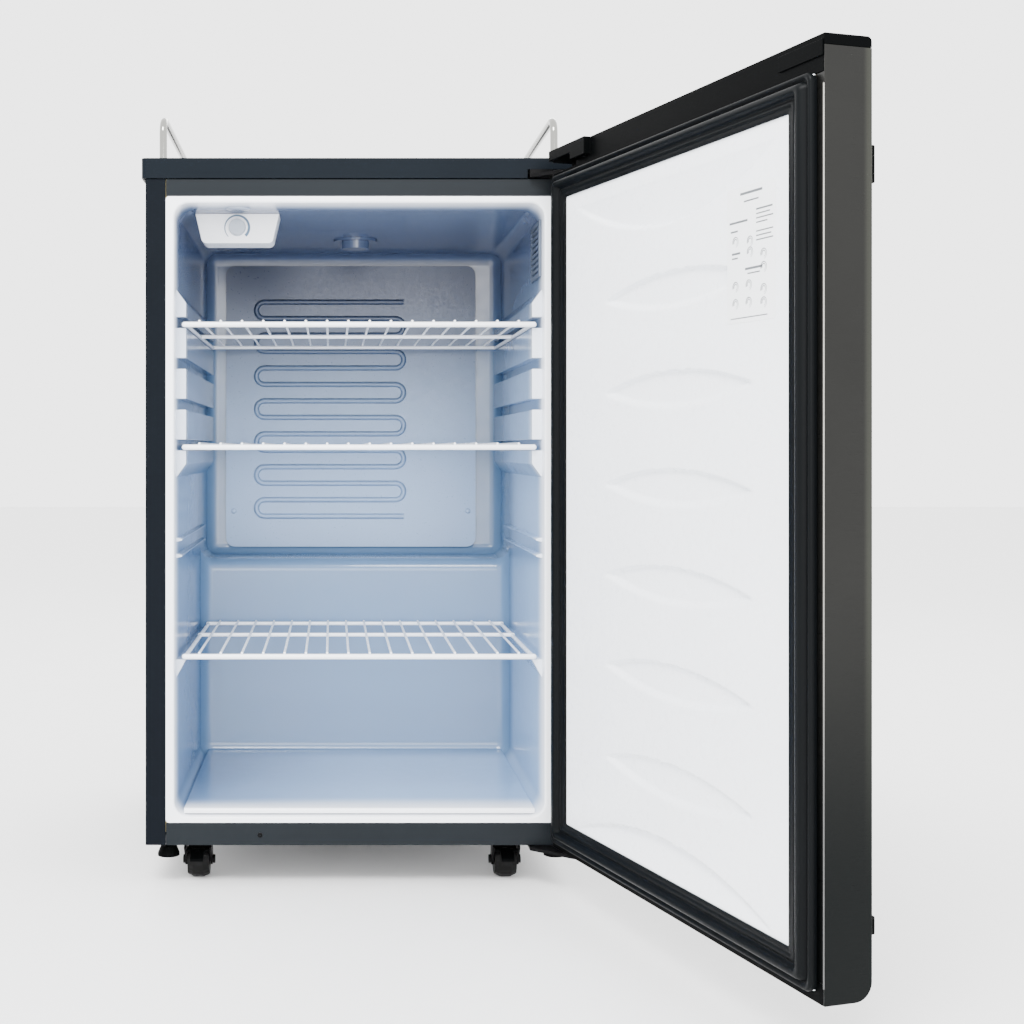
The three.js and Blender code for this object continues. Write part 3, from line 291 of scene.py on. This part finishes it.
slate = makeFinish("slatePaint", {
    "colour": (0.0030, 0.0042, 0.0062), "roughness": 0.5, "grainScale": 900, "bump": 0.25, "bumpDepth": 0.15,
    "specular": 0.035, "shade": 0.08,
})
slateTop = makeFinish("worktopPaint", {
    "colour": (0.0033, 0.0052, 0.0078), "roughness": 0.42, "grainScale": 500, "bump": 0.3, "bumpDepth": 0.2,
    "specular": 0.05, "shade": 0.08,
})
beamPaint = makeFinish("beamPaint", {
    "colour": (0.0060, 0.0080, 0.0100), "roughness": 0.42, "grainScale": 900, "bump": 0.2, "bumpDepth": 0.15,
    "specular": 0.1, "shade": 0.06,
})
# Liner white with painted shade: past the lip it fades to a dark blue, and it darkens further towards the
# left wall, the back and the top, standing in for the shade inside the cabinet. The front flange stays white.
linerWhitePaintedShade = makeFinish("linerWhitePaintedShade", {
    "colour": (0.90, 0.92, 0.96), "roughness": 0.18, "roughVary": 0.2,
    "grainScale": 60, "bump": 0.04, "bumpDepth": 0.3, "shade": 0.01, "coat": 0.1, "coatRoughness": 0.06,
    "paintedLightFades": [
        ("Y", at(0, 3, 0).y, at(0, 70, 0).y, (0.25, 0.38, 0.58)),
        ("X", at(40, 0, 0).x, at(-225, 0, 0).x, (0.13, 0.21, 0.36)),
        ("Y", at(0, 290, 0).y, at(0, 372, 0).y, (0.12, 0.21, 0.35)), ("Z", 0.60, 0.82, (0.07, 0.095, 0.165)),
    ], "nested": True,
})
doorWhite = makeFinish("doorLinerWhite", {
    "colour": (0.90, 0.93, 0.97), "roughness": 0.3, "roughVary": 0.2, "grainScale": 90, "bump": 0.05,
    "bumpDepth": 0.3, "shade": 0.012, "specular": 0.3,
})
labelWhite = makeFinish("labelPaper", {
    "colour": (0.90, 0.92, 0.94), "roughness": 0.22, "grainScale": 400, "bump": 0.05, "shade": 0.01,
})
labelInk = makeFinish("labelInk", {
    "colour": (0.10, 0.11, 0.12), "roughness": 0.5, "grainScale": 600, "bump": 0.05, "shade": 0.1,
})
housingWhite = makeFinish("housingWhite", {
    "colour": (0.92, 0.93, 0.96), "roughness": 0.3, "grainScale": 500, "bump": 0.08, "shade": 0.015,
})
wireWhite = makeFinish("wireCoating", {
    "colour": (0.92, 0.94, 0.98), "roughness": 0.25, "grainScale": 250, "bump": 0.1, "shade": 0.02,
    "coat": 0.3,
})
# Door steel with painted light: a lighter band towards the free edge is a painted sheen, and the colour
# darkens towards the bottom as painted shade.
skinSteel = makeFinish("doorSteel", {
    "colour": (0.0170, 0.0170, 0.0160), "roughness": 0.36, "metallic": 0.9, "grainScale": 40,
    "grainDetail": 6,
    "stretch": (1, 1, 60), "turn": 0.3, "bump": 0.05, "roughVary": 0.25, "shade": 0.05,
    "paintedLightFades": [
        ("X", at(421, 0, 0).x, at(427.5, 0, 0).x, (0.034, 0.035, 0.030)),
        ("Z", 0.46, 0.14, (0.0030, 0.0038, 0.0038)),
    ],
})
# The hem is a real fold, but its steel is made much brighter than the skin's as a painted highlight along the
# fold. It darkens towards the bottom as painted shade.
hemSteel = makeFinish("foldedHem", {
    "colour": (0.30, 0.29, 0.27), "roughness": 0.22, "metallic": 1, "grainScale": 60, "bump": 0.03,
    "shade": 0.05,
    "paintedLightFades": [("Z", 0.5, 0.2, (0.10, 0.10, 0.10))],
})

barSteel = makeFinish("handleSteel", {
    "colour": (0.20, 0.20, 0.19), "roughness": 0.3, "metallic": 1, "grainScale": 60, "grainDetail": 6,
    "stretch": (40, 40, 1), "bump": 0.06, "roughVary": 0.25, "shade": 0.05,
})
blackPlastic = makeFinish("blackPlastic", {
    "colour": (0.0012, 0.0014, 0.0015), "roughness": 0.42, "grainScale": 1200, "bump": 0.35,
    "bumpDepth": 0.12,
    "specular": 0.012, "shade": 0.1,
})
blackPaint = makeFinish("blackPaint", {
    "colour": (0.0020, 0.0020, 0.0023), "roughness": 0.34, "grainScale": 900, "bump": 0.2, "shade": 0.1,
    "specular": 0.06,
})
gasketRubber = makeFinish("gasketRubber", {
    "colour": (0.0013, 0.0018, 0.0022), "roughness": 0.4, "grainScale": 700, "bump": 0.2, "shade": 0.1,
    "specular": 0.06,
})
treadRubber = makeFinish("casterTread", {
    "colour": (0.0040, 0.0040, 0.0040), "roughness": 0.42, "grainScale": 400, "bump": 0.3, "shade": 0.15,
    "specular": 0.08,
})
chrome = makeFinish("railChrome", {
    "colour": (0.25, 0.25, 0.235), "roughness": 0.12, "metallic": 1, "grainScale": 200, "bump": 0.02,
    "shade": 0.02,
})
zinc = makeFinish("zincPlate", {
    "colour": (0.12, 0.12, 0.125), "roughness": 0.38, "metallic": 0.9, "grainScale": 300, "bump": 0.15,
    "shade": 0.12,
})
# Evaporator plate with painted shade: its blue-grey base colour is the shaded tone of the back wall painted
# in, and it darkens towards the top.
plateMetal = makeFinish("evaporatorSkin", {
    "colour": (0.27, 0.39, 0.58), "roughness": 0.32, "metallic": 0.1, "grainScale": 300, "bump": 0.02,
    "shade": 0.02, "paintedLightFades": [("Z", 0.46, 0.80, (0.026, 0.038, 0.075))],
})
copper = makeFinish("copperTube", {
    "colour": (0.30, 0.12, 0.06), "roughness": 0.32, "metallic": 1, "grainScale": 150, "bump": 0.1,
    "shade": 0.15,
})
foamYellow = makeFinish("foam", {
    "colour": (0.30, 0.25, 0.12), "roughness": 0.9, "grainScale": 250, "bump": 0.8, "bumpDepth": 0.6,
    "shade": 0.1,
})
dialGrey = makeFinish("dialGrey", {
    "colour": (0.36, 0.40, 0.46), "roughness": 0.4, "grainScale": 500, "bump": 0.1, "shade": 0.02,
})
dialBlue = makeFinish("dialBlue", {
    "colour": (0.07, 0.13, 0.21), "roughness": 0.45, "grainScale": 500, "bump": 0.05, "shade": 0.02,
})
grilleGrey = makeFinish("grilleGrey", {
    "colour": (0.07, 0.09, 0.13), "roughness": 0.5, "grainScale": 500, "bump": 0.05, "shade": 0.04,
})
print("finishes made")

# camera, light and floor
cameraSet = {"place": (-33.5, -1793, 534), "lens": 51.68, "shift": (0.1758, -0.0605)}
camera = bpy.data.objects.new("camera", bpy.data.cameras.new("camera"))
bpy.context.scene.collection.objects.link(camera)
camera.location = at(*cameraSet["place"])
camera.rotation_euler = (math.pi / 2, 0, 0)
camera.data.lens = cameraSet["lens"]
camera.data.shift_x, camera.data.shift_y = cameraSet["shift"]
bpy.context.scene.camera = camera


def addLight(name, place, aim, size, power, colour=(1, 1, 1)):
    light = bpy.data.objects.new(name, bpy.data.lights.new(name, "AREA"))
    bpy.context.scene.collection.objects.link(light)
    light.data.shape = "RECTANGLE"
    light.data.size, light.data.size_y = size
    light.data.energy = power
    light.data.color = colour
    light.location = place
    light.rotation_euler = (Vector(aim) - Vector(place)).to_track_quat("-Z", "Y").to_euler()


addLight("key", (-0.9, -2.6, 3.4), (0.0, 0, 0.35), (1.8, 1.2), 260)
addLight("fill", (0.3, -3.4, 1.0), (0.1, 0, 0.5), (1.6, 1.2), 45)
addLight("back", (0.6, 2.4, 2.4), (0, 0, 0.6), (1.6, 1.2), 40)
world = bpy.data.worlds.new("studio")
world.use_nodes = True
world.node_tree.nodes["Background"].inputs["Color"].default_value = (1, 1, 1, 1)
world.node_tree.nodes["Background"].inputs["Strength"].default_value = 3.6
bpy.context.scene.world = world

floorBm = bmesh.new()
bmesh.ops.create_grid(floorBm, x_segments=1, y_segments=1, size=12)
floorMesh = bpy.data.meshes.new("floor")
floorBm.to_mesh(floorMesh)
floorBm.free()
floor = bpy.data.objects.new("floor", floorMesh)
bpy.context.scene.collection.objects.link(floor)
floorMesh.materials.append(makeFinish("paleFloor", {
    "colour": (0.86, 0.86, 0.86), "roughness": 0.6, "grainScale": 40, "bump": 0.02, "shade": 0.005,
}))
print("camera, light and floor set")

# inner liner
tub = {
    "half": 226, "floor": 87, "ceiling": 835.6, "depth": 480, "humpFront": 372, "humpTop": 374, "corner": 18,
    "lip": 3, "flangeHalf": 236.2, "flangeLow": 79.5, "flangeHigh": 843.6, "flangeCorner": 4, "wall": 1.5,
}


def buildTub():
    t = tub
    bm = bmesh.new()
    side = [
        (t["lip"], t["ceiling"]), (t["depth"], t["ceiling"]), (t["depth"], t["humpTop"]),
        (t["humpFront"], t["humpTop"]), (t["humpFront"], t["floor"]), (t["lip"], t["floor"]),
    ]
    addPrism(bm, [at(-t["half"], y, z) for y, z in side], Vector((2 * t["half"] * mm, 0, 0)))
    mouthY = at(0, t["lip"], 0).y
    isMouth = lambda v: abs(v.co.y - mouthY) < 1e-5
    bmesh.ops.recalc_face_normals(bm, faces=bm.faces)
    edges = [e for e in bm.edges if not (isMouth(e.verts[0]) and isMouth(e.verts[1]))]
    bmesh.ops.bevel(
        bm, geom=edges, offset=t["corner"] * mm, segments=8, profile=0.5, affect="EDGES", material=-1,
        clamp_overlap=True,
    )
    bmesh.ops.delete(bm, geom=[f for f in bm.faces if all(isMouth(v) for v in f.verts)], context="FACES")
    bmesh.ops.reverse_faces(bm, faces=bm.faces)
    halfCore = (t["half"] - t["corner"]) * mm
    low, high = (t["floor"] + t["corner"]) * mm, (t["ceiling"] - t["corner"]) * mm

    def core(co):
        x = math.copysign(halfCore, co.x - middleX) + middleX
        return Vector((x, co.y, low if co.z < (low + high) / 2 else high))

    rounds = [(i / 5) * math.pi / 2 for i in range(1, 6)]
    stages = [(t["lip"] * (1 - math.cos(a)), t["lip"] * (1 - math.sin(a))) for a in rounds]
    for grow, depth in stages:
        made = bmesh.ops.extrude_edge_only(bm, edges=[e for e in bm.edges if e.is_boundary])["geom"]
        rim = [v for v in made if isinstance(v, bmesh.types.BMVert)]
        for v in rim:
            spoke = v.co - core(v.co)
            spoke.y = 0
            v.co = core(v.co) + spoke.normalized() * (t["corner"] + grow) * mm
            v.co.y = at(0, depth, 0).y
    for depth in (0, 2):
        made = bmesh.ops.extrude_edge_only(bm, edges=[e for e in bm.edges if e.is_boundary])["geom"]
        rim = [v for v in made if isinstance(v, bmesh.types.BMVert)]
        for v in rim:
            spoke = v.co - core(v.co)
            spoke.y = 0
            if depth == 0:
                reach = (t["flangeHalf"] - t["flangeCorner"]) * mm
                x = math.copysign(reach, v.co.x - middleX) + middleX
                up = v.co.z > (low + high) / 2
                z = t["flangeHigh"] - t["flangeCorner"] if up else t["flangeLow"] + t["flangeCorner"]
                v.co = Vector((x, v.co.y, z * mm)) + spoke.normalized() * t["flangeCorner"] * mm
            v.co.y = at(0, depth, 0).y
    piece = finishPiece(
        "linerTub", bm, linerWhitePaintedShade, "cabinet", ("inner_liner",), smooth=40, recalc=False,
    )
    wall = piece.modifiers.new("wall", "SOLIDIFY")
    wall.thickness = t["wall"] * mm
    wall.offset = -1
    return piece


buildTub()

supports = {
    "reach": 12, "front": 25, "back": 455, "top": 734, "topInner": 716, "bottomInner": 517, "bottom": 499,
    "levels": [689, 638.5, 588, 537.5], "above": 9.5, "below": 4, "ledge": 275, "ledgeDrop": 24,
    "ribs": (403, 423), "ribReach": 7, "ribRoot": 3, "ribTip": 1, "sunk": 1, "round": 2.2,
}


def buildSupports(side):
    s = supports
    bm = bmesh.new()
    wall, face = side * (tub["half"] + s["sunk"]), side * (tub["half"] - s["reach"])

    def addRunner(outline, back):
        addPrism(bm, [at(x, s["front"], z) for x, z in outline], Vector((0, (back - s["front"]) * mm, 0)))

    tops = [s["top"]] + [level - s["below"] for level in s["levels"]]
    bottoms = [level + s["above"] for level in s["levels"]] + [s["bottom"]]
    for i, (high, low) in enumerate(zip(tops, bottoms)):
        faceHigh = s["topInner"] if i == 0 else high
        faceLow = s["bottomInner"] if i == len(tops) - 1 else low
        addRunner([(wall, high), (face, faceHigh), (face, faceLow), (wall, low)], s["back"])
    addRunner([(wall, s["ledge"]), (face, s["ledge"]), (wall, s["ledge"] - s["ledgeDrop"])], tub["humpFront"])
    tip, root, half = side * (tub["half"] - s["ribReach"]), s["ribRoot"], s["ribTip"]
    for z in s["ribs"]:
        addRunner([(wall, z + root), (tip, z + half), (tip, z - half), (wall, z - root)], tub["humpFront"])
    bmesh.ops.recalc_face_normals(bm, faces=bm.faces)
    bevelSharp(bm, s["round"], 4)
    name = "sideSupportsLeft" if side < 0 else "sideSupportsRight"
    finishPiece(name, bm, linerWhitePaintedShade, "cabinet", smooth=50, weighted=True)


buildSupports(-1)
buildSupports(1)
print("liner built")

# evaporator plate
evaporator = {
    "left": -197, "right": 188, "bottom": 385, "top": 818, "corner": 14, "face": 474.5, "rear": 476,
    "runLeft": -150, "runRight": 77, "pitch": 25.4, "first": 432, "runs": 14, "tube": 4.2,
}


def buildEvaporator():
    s = evaporator
    bm = bmesh.new()
    spans = ((s["left"], s["right"]), (s["bottom"], s["top"]))
    addRings(bm, [roundRing(at, *spans, s["corner"], depth) for depth in (s["face"], s["rear"])])
    bevelSharp(bm, 0.5, 2)
    stops = []
    for i in range(s["runs"]):
        ends = (s["runLeft"], s["runRight"]) if i % 2 else (s["runRight"], s["runLeft"])
        stops += [at(x, s["face"], s["first"] + i * s["pitch"]) for x in ends]
    addPipe(bm, stops, s["pitch"] / 2 - 0.2, s["tube"], 16, 6)
    for x, z in ((s["left"] + 12, s["first"] + 8), (s["right"] - 12, s["first"] + 8)):
        addTurned(bm, [(0, 2.2), (3, 1.8), (4, 0.4), (4, 0)], at(x, s["face"], z), Vector((0, -1, 0)), 20)
    finishPiece(
        "evaporatorSheet", bm, plateMetal, "cabinet", ("evaporator_plate",), smooth=40,
    )


buildEvaporator()

# shelves
shelfSet = {
    "half": 219, "front": 22, "barRadius": 3.4, "wireRadius": 1.6, "wires": 16, "pitch": 26.3,
    "crossBar": 208,
    "frameRadius": 2.6,
}


def buildShelf(body, name, level, rear):
    s = shelfSet
    bm = bmesh.new()

    def bar(start, end, radius, sides=16):
        addRod(bm, at(*start), at(*end), radius, sides)
        for spot in (start, end):
            bmesh.ops.create_uvsphere(
                bm, u_segments=sides, v_segments=8, radius=radius * mm, matrix=Matrix.Translation(at(*spot)),
            )

    half, front = s["half"] - s["barRadius"], s["front"]
    bar((-half, front, level), (half, front, level), s["barRadius"], 20)
    crossLevel = level + s["barRadius"] - s["frameRadius"]
    for y in [y for y in (front + s["crossBar"], rear) if y == rear or y < rear - 40]:
        bar((-half, y, crossLevel), (half, y, crossLevel), s["frameRadius"])
    for side in (-1, 1):
        bar((side * (half - 1), front, level), (side * (half - 1), rear, level), s["frameRadius"])
    top = level + s["barRadius"] + s["wireRadius"] * 0.55
    for i in range(s["wires"]):
        x = (i - (s["wires"] - 1) / 2) * s["pitch"]
        bar((x, front + 0.5, top), (x, rear, top), s["wireRadius"], 12)
    finishPiece(name, bm, wireWhite, body, (body,), smooth=60, recalc=False)


buildShelf("shelf_top", "shelfTopWires", 689, 442)
buildShelf("shelf_middle", "shelfMiddleWires", 537.5, 442)
buildShelf("shelf_low", "shelfLowWires", 279, 362)
print("shelves built")

# guard rail
railSet = {"half": 245.5, "front": 55, "rear": 525, "height": 951, "tube": 4.7, "bend": 20, "postBack": 60}


def buildRail():
    s = railSet
    base = worktopHigh.z / mm
    bm = bmesh.new()
    route = [
        (-s["half"], s["front"], base), (-s["half"], s["front"], s["height"]),
        (-s["half"], s["rear"], s["height"]),
        (s["half"], s["rear"], s["height"]), (s["half"], s["front"], s["height"]),
        (s["half"], s["front"], base),
    ]
    addPipe(bm, [at(*p) for p in route], s["bend"], s["tube"], 24, 14)
    for side in (-1, 1):
        x, y = side * s["half"], s["rear"] - s["postBack"]
        addRod(bm, at(x, y, base), at(x, y, s["height"]), s["tube"], 24)
        for spot in (y, s["front"]):
            profile = [(s["tube"], 4), (s["tube"] + 1.5, 3.6), (8.2, 2.4), (9, 1.2), (9, 0), (s["tube"], 0)]
            addTurned(bm, profile, at(x, spot, base), Vector((0, 0, 1)), 32)
    finishPiece("railTube", bm, chrome, "cabinet", ("guard_rail",), smooth=50)


buildRail()

# cabinet shell
for node, name in (("side_panel_left", "sideSkinLeft"), ("side_panel_right", "sideSkinRight")):
    softened(node, name, slate, "cabinet", 0.45, 2)
softened("front_top_beam", "topBeamSkin", beamPaint, "cabinet", 0.6, 2)
softened("front_bottom_beam", "bottomBeamSkin", beamPaint, "cabinet", 0.6, 2)
softened("worktop", "worktopSlab", slateTop, "cabinet", 1.2, 3)
softened("rear_cover", "rearGrille", slate, "cabinet", 0.2, 1)
softened("top_hinge_bracket", "topHingeArm", blackPaint, "cabinet", 0.5, 2)
softened("bottom_hinge_bracket", "bottomHingeArm", blackPaint, "cabinet", 0.5, 2)
softened("floor_plate", "floorPanel", linerWhitePaintedShade, "floor_plate", 0.8, 3)
softened("thermostat_housing", "thermostatBox", housingWhite, "cabinet", 1.5, 4)
softened("fan_grille", "fanLouvre", grilleGrey, "cabinet", 0.7, 2)
print("shell built")

# door
softened("door_skin", "doorSheet", skinSteel, "door", 0.6, 3)
softened("door_top_cap", "doorTopTrim", blackPlastic, "door", 1.0, 3)
softened("door_bottom_cap", "doorBottomTrim", blackPlastic, "door", 0.8, 2)
softened("hinge_blanking_cover", "blankingTrim", blackPlastic, "door", 0.4, 2)
softened("handle_bar", "handleGrip", barSteel, "door", 0.8, 3)
softened("handle_bracket_top", "handleEndTop", blackPlastic, "door", 1.2, 3)
softened("handle_bracket_bottom", "handleEndBottom", blackPlastic, "door", 1.2, 3)

gasketSet = {
    "u": (10, 522), "z": (69, 858), "bandHinge": 34, "bandFree": 36, "bandEnds": 29, "seat": 3.1,
    "corners": (8, 2), "profile": [
        (0, -2.7), (0, 2.4), (0.03, 4.4), (0.1, 4.6), (0.15, 2.8), (0.21, 2.0), (0.25, 4.4), (0.3, 7.8),
        (0.36, 8.5), (0.43, 8.5), (0.49, 7.6), (0.53, 4.4), (0.58, 2.0), (0.64, 2.0), (0.68, 3.4),
        (0.75, 3.6),
        (0.8, 2.2), (0.86, 1.8), (0.96, 2.2), (1, 1.2), (1, 0), (0.055, 0), (0.055, -2.7),
    ],
}


def buildGasket():
    s = gasketSet
    bm = bmesh.new()
    rings = []
    outer, inner = s["corners"]
    for share, height in s["profile"]:
        hingeSide, freeSide, ends = (share * s[band] for band in ("bandHinge", "bandFree", "bandEnds"))
        u = (s["u"][0] + hingeSide, s["u"][1] - freeSide)
        z = (s["z"][0] + ends, s["z"][1] - ends)
        rings.append(roundRing(onDoor, u, z, outer + (inner - outer) * share, s["seat"] + height, 5))
    addRings(bm, rings, looped=True)
    swingOpen(bm)
    finishPiece("doorSeal", bm, gasketRubber, "door", ("door_gasket",), smooth=60)


buildGasket()

linerSet = {
    "u": (12, 520), "z": (71, 856), "e": 2.8, "fine": (3, 1.6), "coarse": 9,
    "ribs": [696, 595, 495, 396, 297, 196], "ribU": (134, 433), "ribHalf": 20, "ribDepth": 4,
    "ribEdges": (2.2, 8),
    "bowlU": (66, 470), "bowls": [(813, -1, 49), (99, 1, 38)],
    "bowlDepth": 7.5, "bowlEdge": 3, "wall": 2.2,
}


def ease(t):
    t = min(max(t, 0), 1)
    return t * t * (3 - 2 * t)


# How far a place lies inside the upper and the lower arc of a lens lying along the door.
def arcReach(u, span, half, power):
    across = (2 * u - span[0] - span[1]) / (span[1] - span[0])
    return half * (1 - across * across) ** power if abs(across) < 1 else -1


# Places along one edge, close together inside the bands and wide apart elsewhere.
def gridSpots(span, bands, fine, coarse):
    spots = [span[0]]
    while spots[-1] < span[1]:
        here = spots[-1]
        ahead = min((start - here for start, end in bands if here < end), default=coarse)
        spots.append(min(span[1], here + min(coarse, max(fine, ahead))))
    return spots


def linerHollow(u, z):
    s = linerSet
    depth = 0
    reach = arcReach(u, s["ribU"], s["ribHalf"], 1)
    for level in s["ribs"]:
        if abs(z - level) < reach:
            upper, lower = (level + reach - z) / s["ribEdges"][0], (z - level + reach) / s["ribEdges"][1]
            depth += s["ribDepth"] * ease(upper) * ease(lower)
    for chord, sign, dip in s["bowls"]:
        run, reach = (z - chord) * sign, arcReach(u, s["bowlU"], dip, 1)
        if 0 < run < reach:
            depth += s["bowlDepth"] * (run / dip) ** 0.8 * ease((reach - run) / s["bowlEdge"])
    return depth


def buildDoorLiner():
    s = linerSet
    bm = bmesh.new()
    bands = [(level - s["ribHalf"] - 2, level + s["ribHalf"] + 2) for level in s["ribs"]]
    bands += [tuple(sorted((chord, chord + sign * (dip + 2)))) for chord, sign, dip in s["bowls"]]
    columns = gridSpots(s["u"], [s["bowlU"]], s["fine"][0], s["coarse"])
    rows = gridSpots(s["z"], sorted(bands), s["fine"][1], s["coarse"])
    across, up = len(columns) - 1, len(rows) - 1
    bmesh.ops.create_grid(bm, x_segments=across, y_segments=up, size=0.5)
    for v in bm.verts:
        u, z = columns[round((v.co.x + 0.5) * across)], rows[round((v.co.y + 0.5) * up)]
        v.co = onDoor(u, s["e"] - linerHollow(u, z), z)
    swingOpen(bm)
    piece = finishPiece(
        "doorInnerPanel", bm, doorWhite, "door", ("door_liner",), smooth=60, recalc=False,
    )
    wall = piece.modifiers.new("wall", "SOLIDIFY")
    wall.thickness = s["wall"] * mm
    wall.offset = -1
    piece.modifiers.new("evenShading", "WEIGHTED_NORMAL").keep_sharp = True


buildDoorLiner()

# A thin rod along the skin's free edge: the folded hem, its brightness a painted highlight.
hemSet = {"u": 531.2, "e": 0.35, "z": (76, 846), "radius": 0.75}


def buildHem():
    s = hemSet
    bm = bmesh.new()
    addRod(bm, *(onDoor(s["u"], s["e"], z) for z in s["z"]), s["radius"], 12)
    swingOpen(bm)
    finishPiece("sheetHem", bm, hemSteel, "door", smooth=60)


buildHem()
print("door built")

# small fittings
def arcPlate(bm, place, radius, thickness, span, depth, height, steps=40):
    outer, inner = [], []
    for i in range(steps + 1):
        angle = math.radians(span[0] + (span[1] - span[0]) * i / steps)
        wide = thickness * (0.25 + 0.75 * i / steps)
        outer.append(place(radius * math.cos(angle), depth, radius * math.sin(angle)))
        inner.append(place((radius - wide) * math.cos(angle), depth, (radius - wide) * math.sin(angle)))
    addPrism(bm, outer + inner[::-1], place(0, depth - height, 0) - place(0, depth, 0))


dialSet = {
    "x": -154.3, "z": 817.8, "front": 82, "radius": 16.6,
    "width": 3.6, "span": (225, -45), "proud": 0.25,
}


def buildDialScale():
    s = dialSet
    bm = bmesh.new()
    place = lambda a, y, b: at(s["x"] + a, y, s["z"] + b)
    arcPlate(bm, place, s["radius"], s["width"], s["span"], s["front"] - 0.05, s["proud"])
    finishPiece("dialScale", bm, dialBlue, "cabinet")


buildDialScale()

ceilingBlank = {"x": -150.7, "y": 42, "radius": 15, "drop": 1.6, "bevel": 1.2, "ceiling": 835.5}


def buildCeilingBlank():
    s = ceilingBlank
    bm = bmesh.new()
    radius, drop = s["radius"], s["drop"]
    profile = [(0, drop), (radius - s["bevel"], drop), (radius, drop / 2), (radius, 0), (0, 0)]
    addTurned(bm, profile, at(s["x"], s["y"], s["ceiling"]), Vector((0, 0, -1)), 48)
    finishPiece("ceilingBlank", bm, linerWhitePaintedShade, "cabinet")


buildCeilingBlank()

labelSet = {
    "u": (386, 465), "z": (652, 778), "e": 2.9, "thick": 0.15, "corner": 3,
    "rules": [
        (22, 8, 36, 2.4), (28, 15, 24, 1.4), (48, 25, 26, 1.6), (48, 29, 22, 1.2), (48, 33, 27, 1.2),
        (48, 37, 18, 1.2), (4, 33, 30, 2), (6, 41, 12, 1.6), (48, 45, 27, 1.2), (48, 49, 24, 1.2),
        (48, 53, 27, 1.2), (8, 62, 14, 2),
        (8, 66, 10, 1.4), (30, 78, 28, 2.2), (34, 82, 20, 1.2), (6, 122, 60, 1),
    ],
    "rings": [
        (14, 50), (38, 52), (38, 62), (60, 66), (60, 78), (14, 92), (36, 92), (60, 98), (60, 110), (14, 108),
        (36, 108),
    ],
    "ringRadii": (5, 3.2), "ringWidth": 1.2, "ringSpan": (-80, 200), "ink": 0.05, "lift": 0.02,
}


def buildCareLabel():
    s = labelSet
    bm = bmesh.new()
    depths = (s["e"] + s["thick"], s["e"])
    addRings(bm, [roundRing(onDoor, s["u"], s["z"], s["corner"], depth) for depth in depths])
    swingOpen(bm)
    finishPiece("careLabel", bm, labelWhite, "door")
    marks = bmesh.new()
    level = s["e"] + s["thick"] + s["lift"]

    def rule(u, z, length, tall):
        corners = ((u, z), (u + length, z), (u + length, z + tall), (u, z + tall))
        outline = [onDoor(a, level, b) for a, b in corners]
        addPrism(marks, outline, onDoor(0, s["ink"], 0) - onDoor(0, 0, 0))

    u0, z1 = s["u"][0], s["z"][1]
    for start, drop, length, tall in s["rules"]:
        rule(u0 + start, z1 - drop, length, tall)
    for u, z in s["rings"]:
        for radius in s["ringRadii"]:
            ring = lambda a, y, b: onDoor(u0 + u + a, y, z1 - z + b)
            arcPlate(marks, ring, radius, s["ringWidth"], s["ringSpan"], level, -s["ink"], 16)
    swingOpen(marks)
    finishPiece("careLabelMarks", marks, labelInk, "door")


buildCareLabel()

frontScrew = {"x": -121.3, "z": 64.4, "radius": 3, "recess": 0.9}


def buildFrontScrew():
    s = frontScrew
    bm = bmesh.new()
    radius, recess = s["radius"], s["recess"]
    profile = [
        (0, 0.3), (0, -0.2), (radius, -0.2), (radius, 0.5), (radius * 0.6, 1.3), (recess, 1.3), (recess, 0.3),
    ]
    addTurned(bm, profile, at(s["x"], 0, s["z"]), Vector((0, -1, 0)), 24)
    finishPiece("beamScrew", bm, blackPaint, "cabinet")


buildFrontScrew()
print("fittings built")

# remaining CAD pieces keep their shape
plainFinish = {
    "back_panel": slate, "base_pan": zinc, "insulation_foam": foamYellow, "thermostat_switch": blackPlastic,
    "thermostat_knob": dialGrey, "fan_frame": blackPlastic, "fan_impeller": blackPlastic,
    "tower_sleeve": linerWhitePaintedShade,
    "ceiling_plug": linerWhitePaintedShade, "tower_hole_cap": blackPlastic, "machine_shroud": zinc,
    "power_inlet": blackPlastic,
    "compressor": blackPaint, "condenser_coil": blackPaint, "filter_drier": copper, "suction_line": copper,
    "drain_pan": blackPlastic, "foot_left": blackPlastic, "foot_right": blackPlastic, "door_foam": foamYellow,
}
for place in ("front_left", "front_right", "rear_left", "rear_right"):
    plainFinish["caster_plate_" + place] = blackPaint
    plainFinish["caster_fork_" + place] = blackPaint
    plainFinish["caster_wheel_" + place] = treadRubber
for place in ("front_left", "front_right"):
    plainFinish["brake_lever_" + place] = blackPlastic
for node, material in plainFinish.items():
    mesh = nodes[node].data
    mesh.materials.clear()
    mesh.materials.append(material)
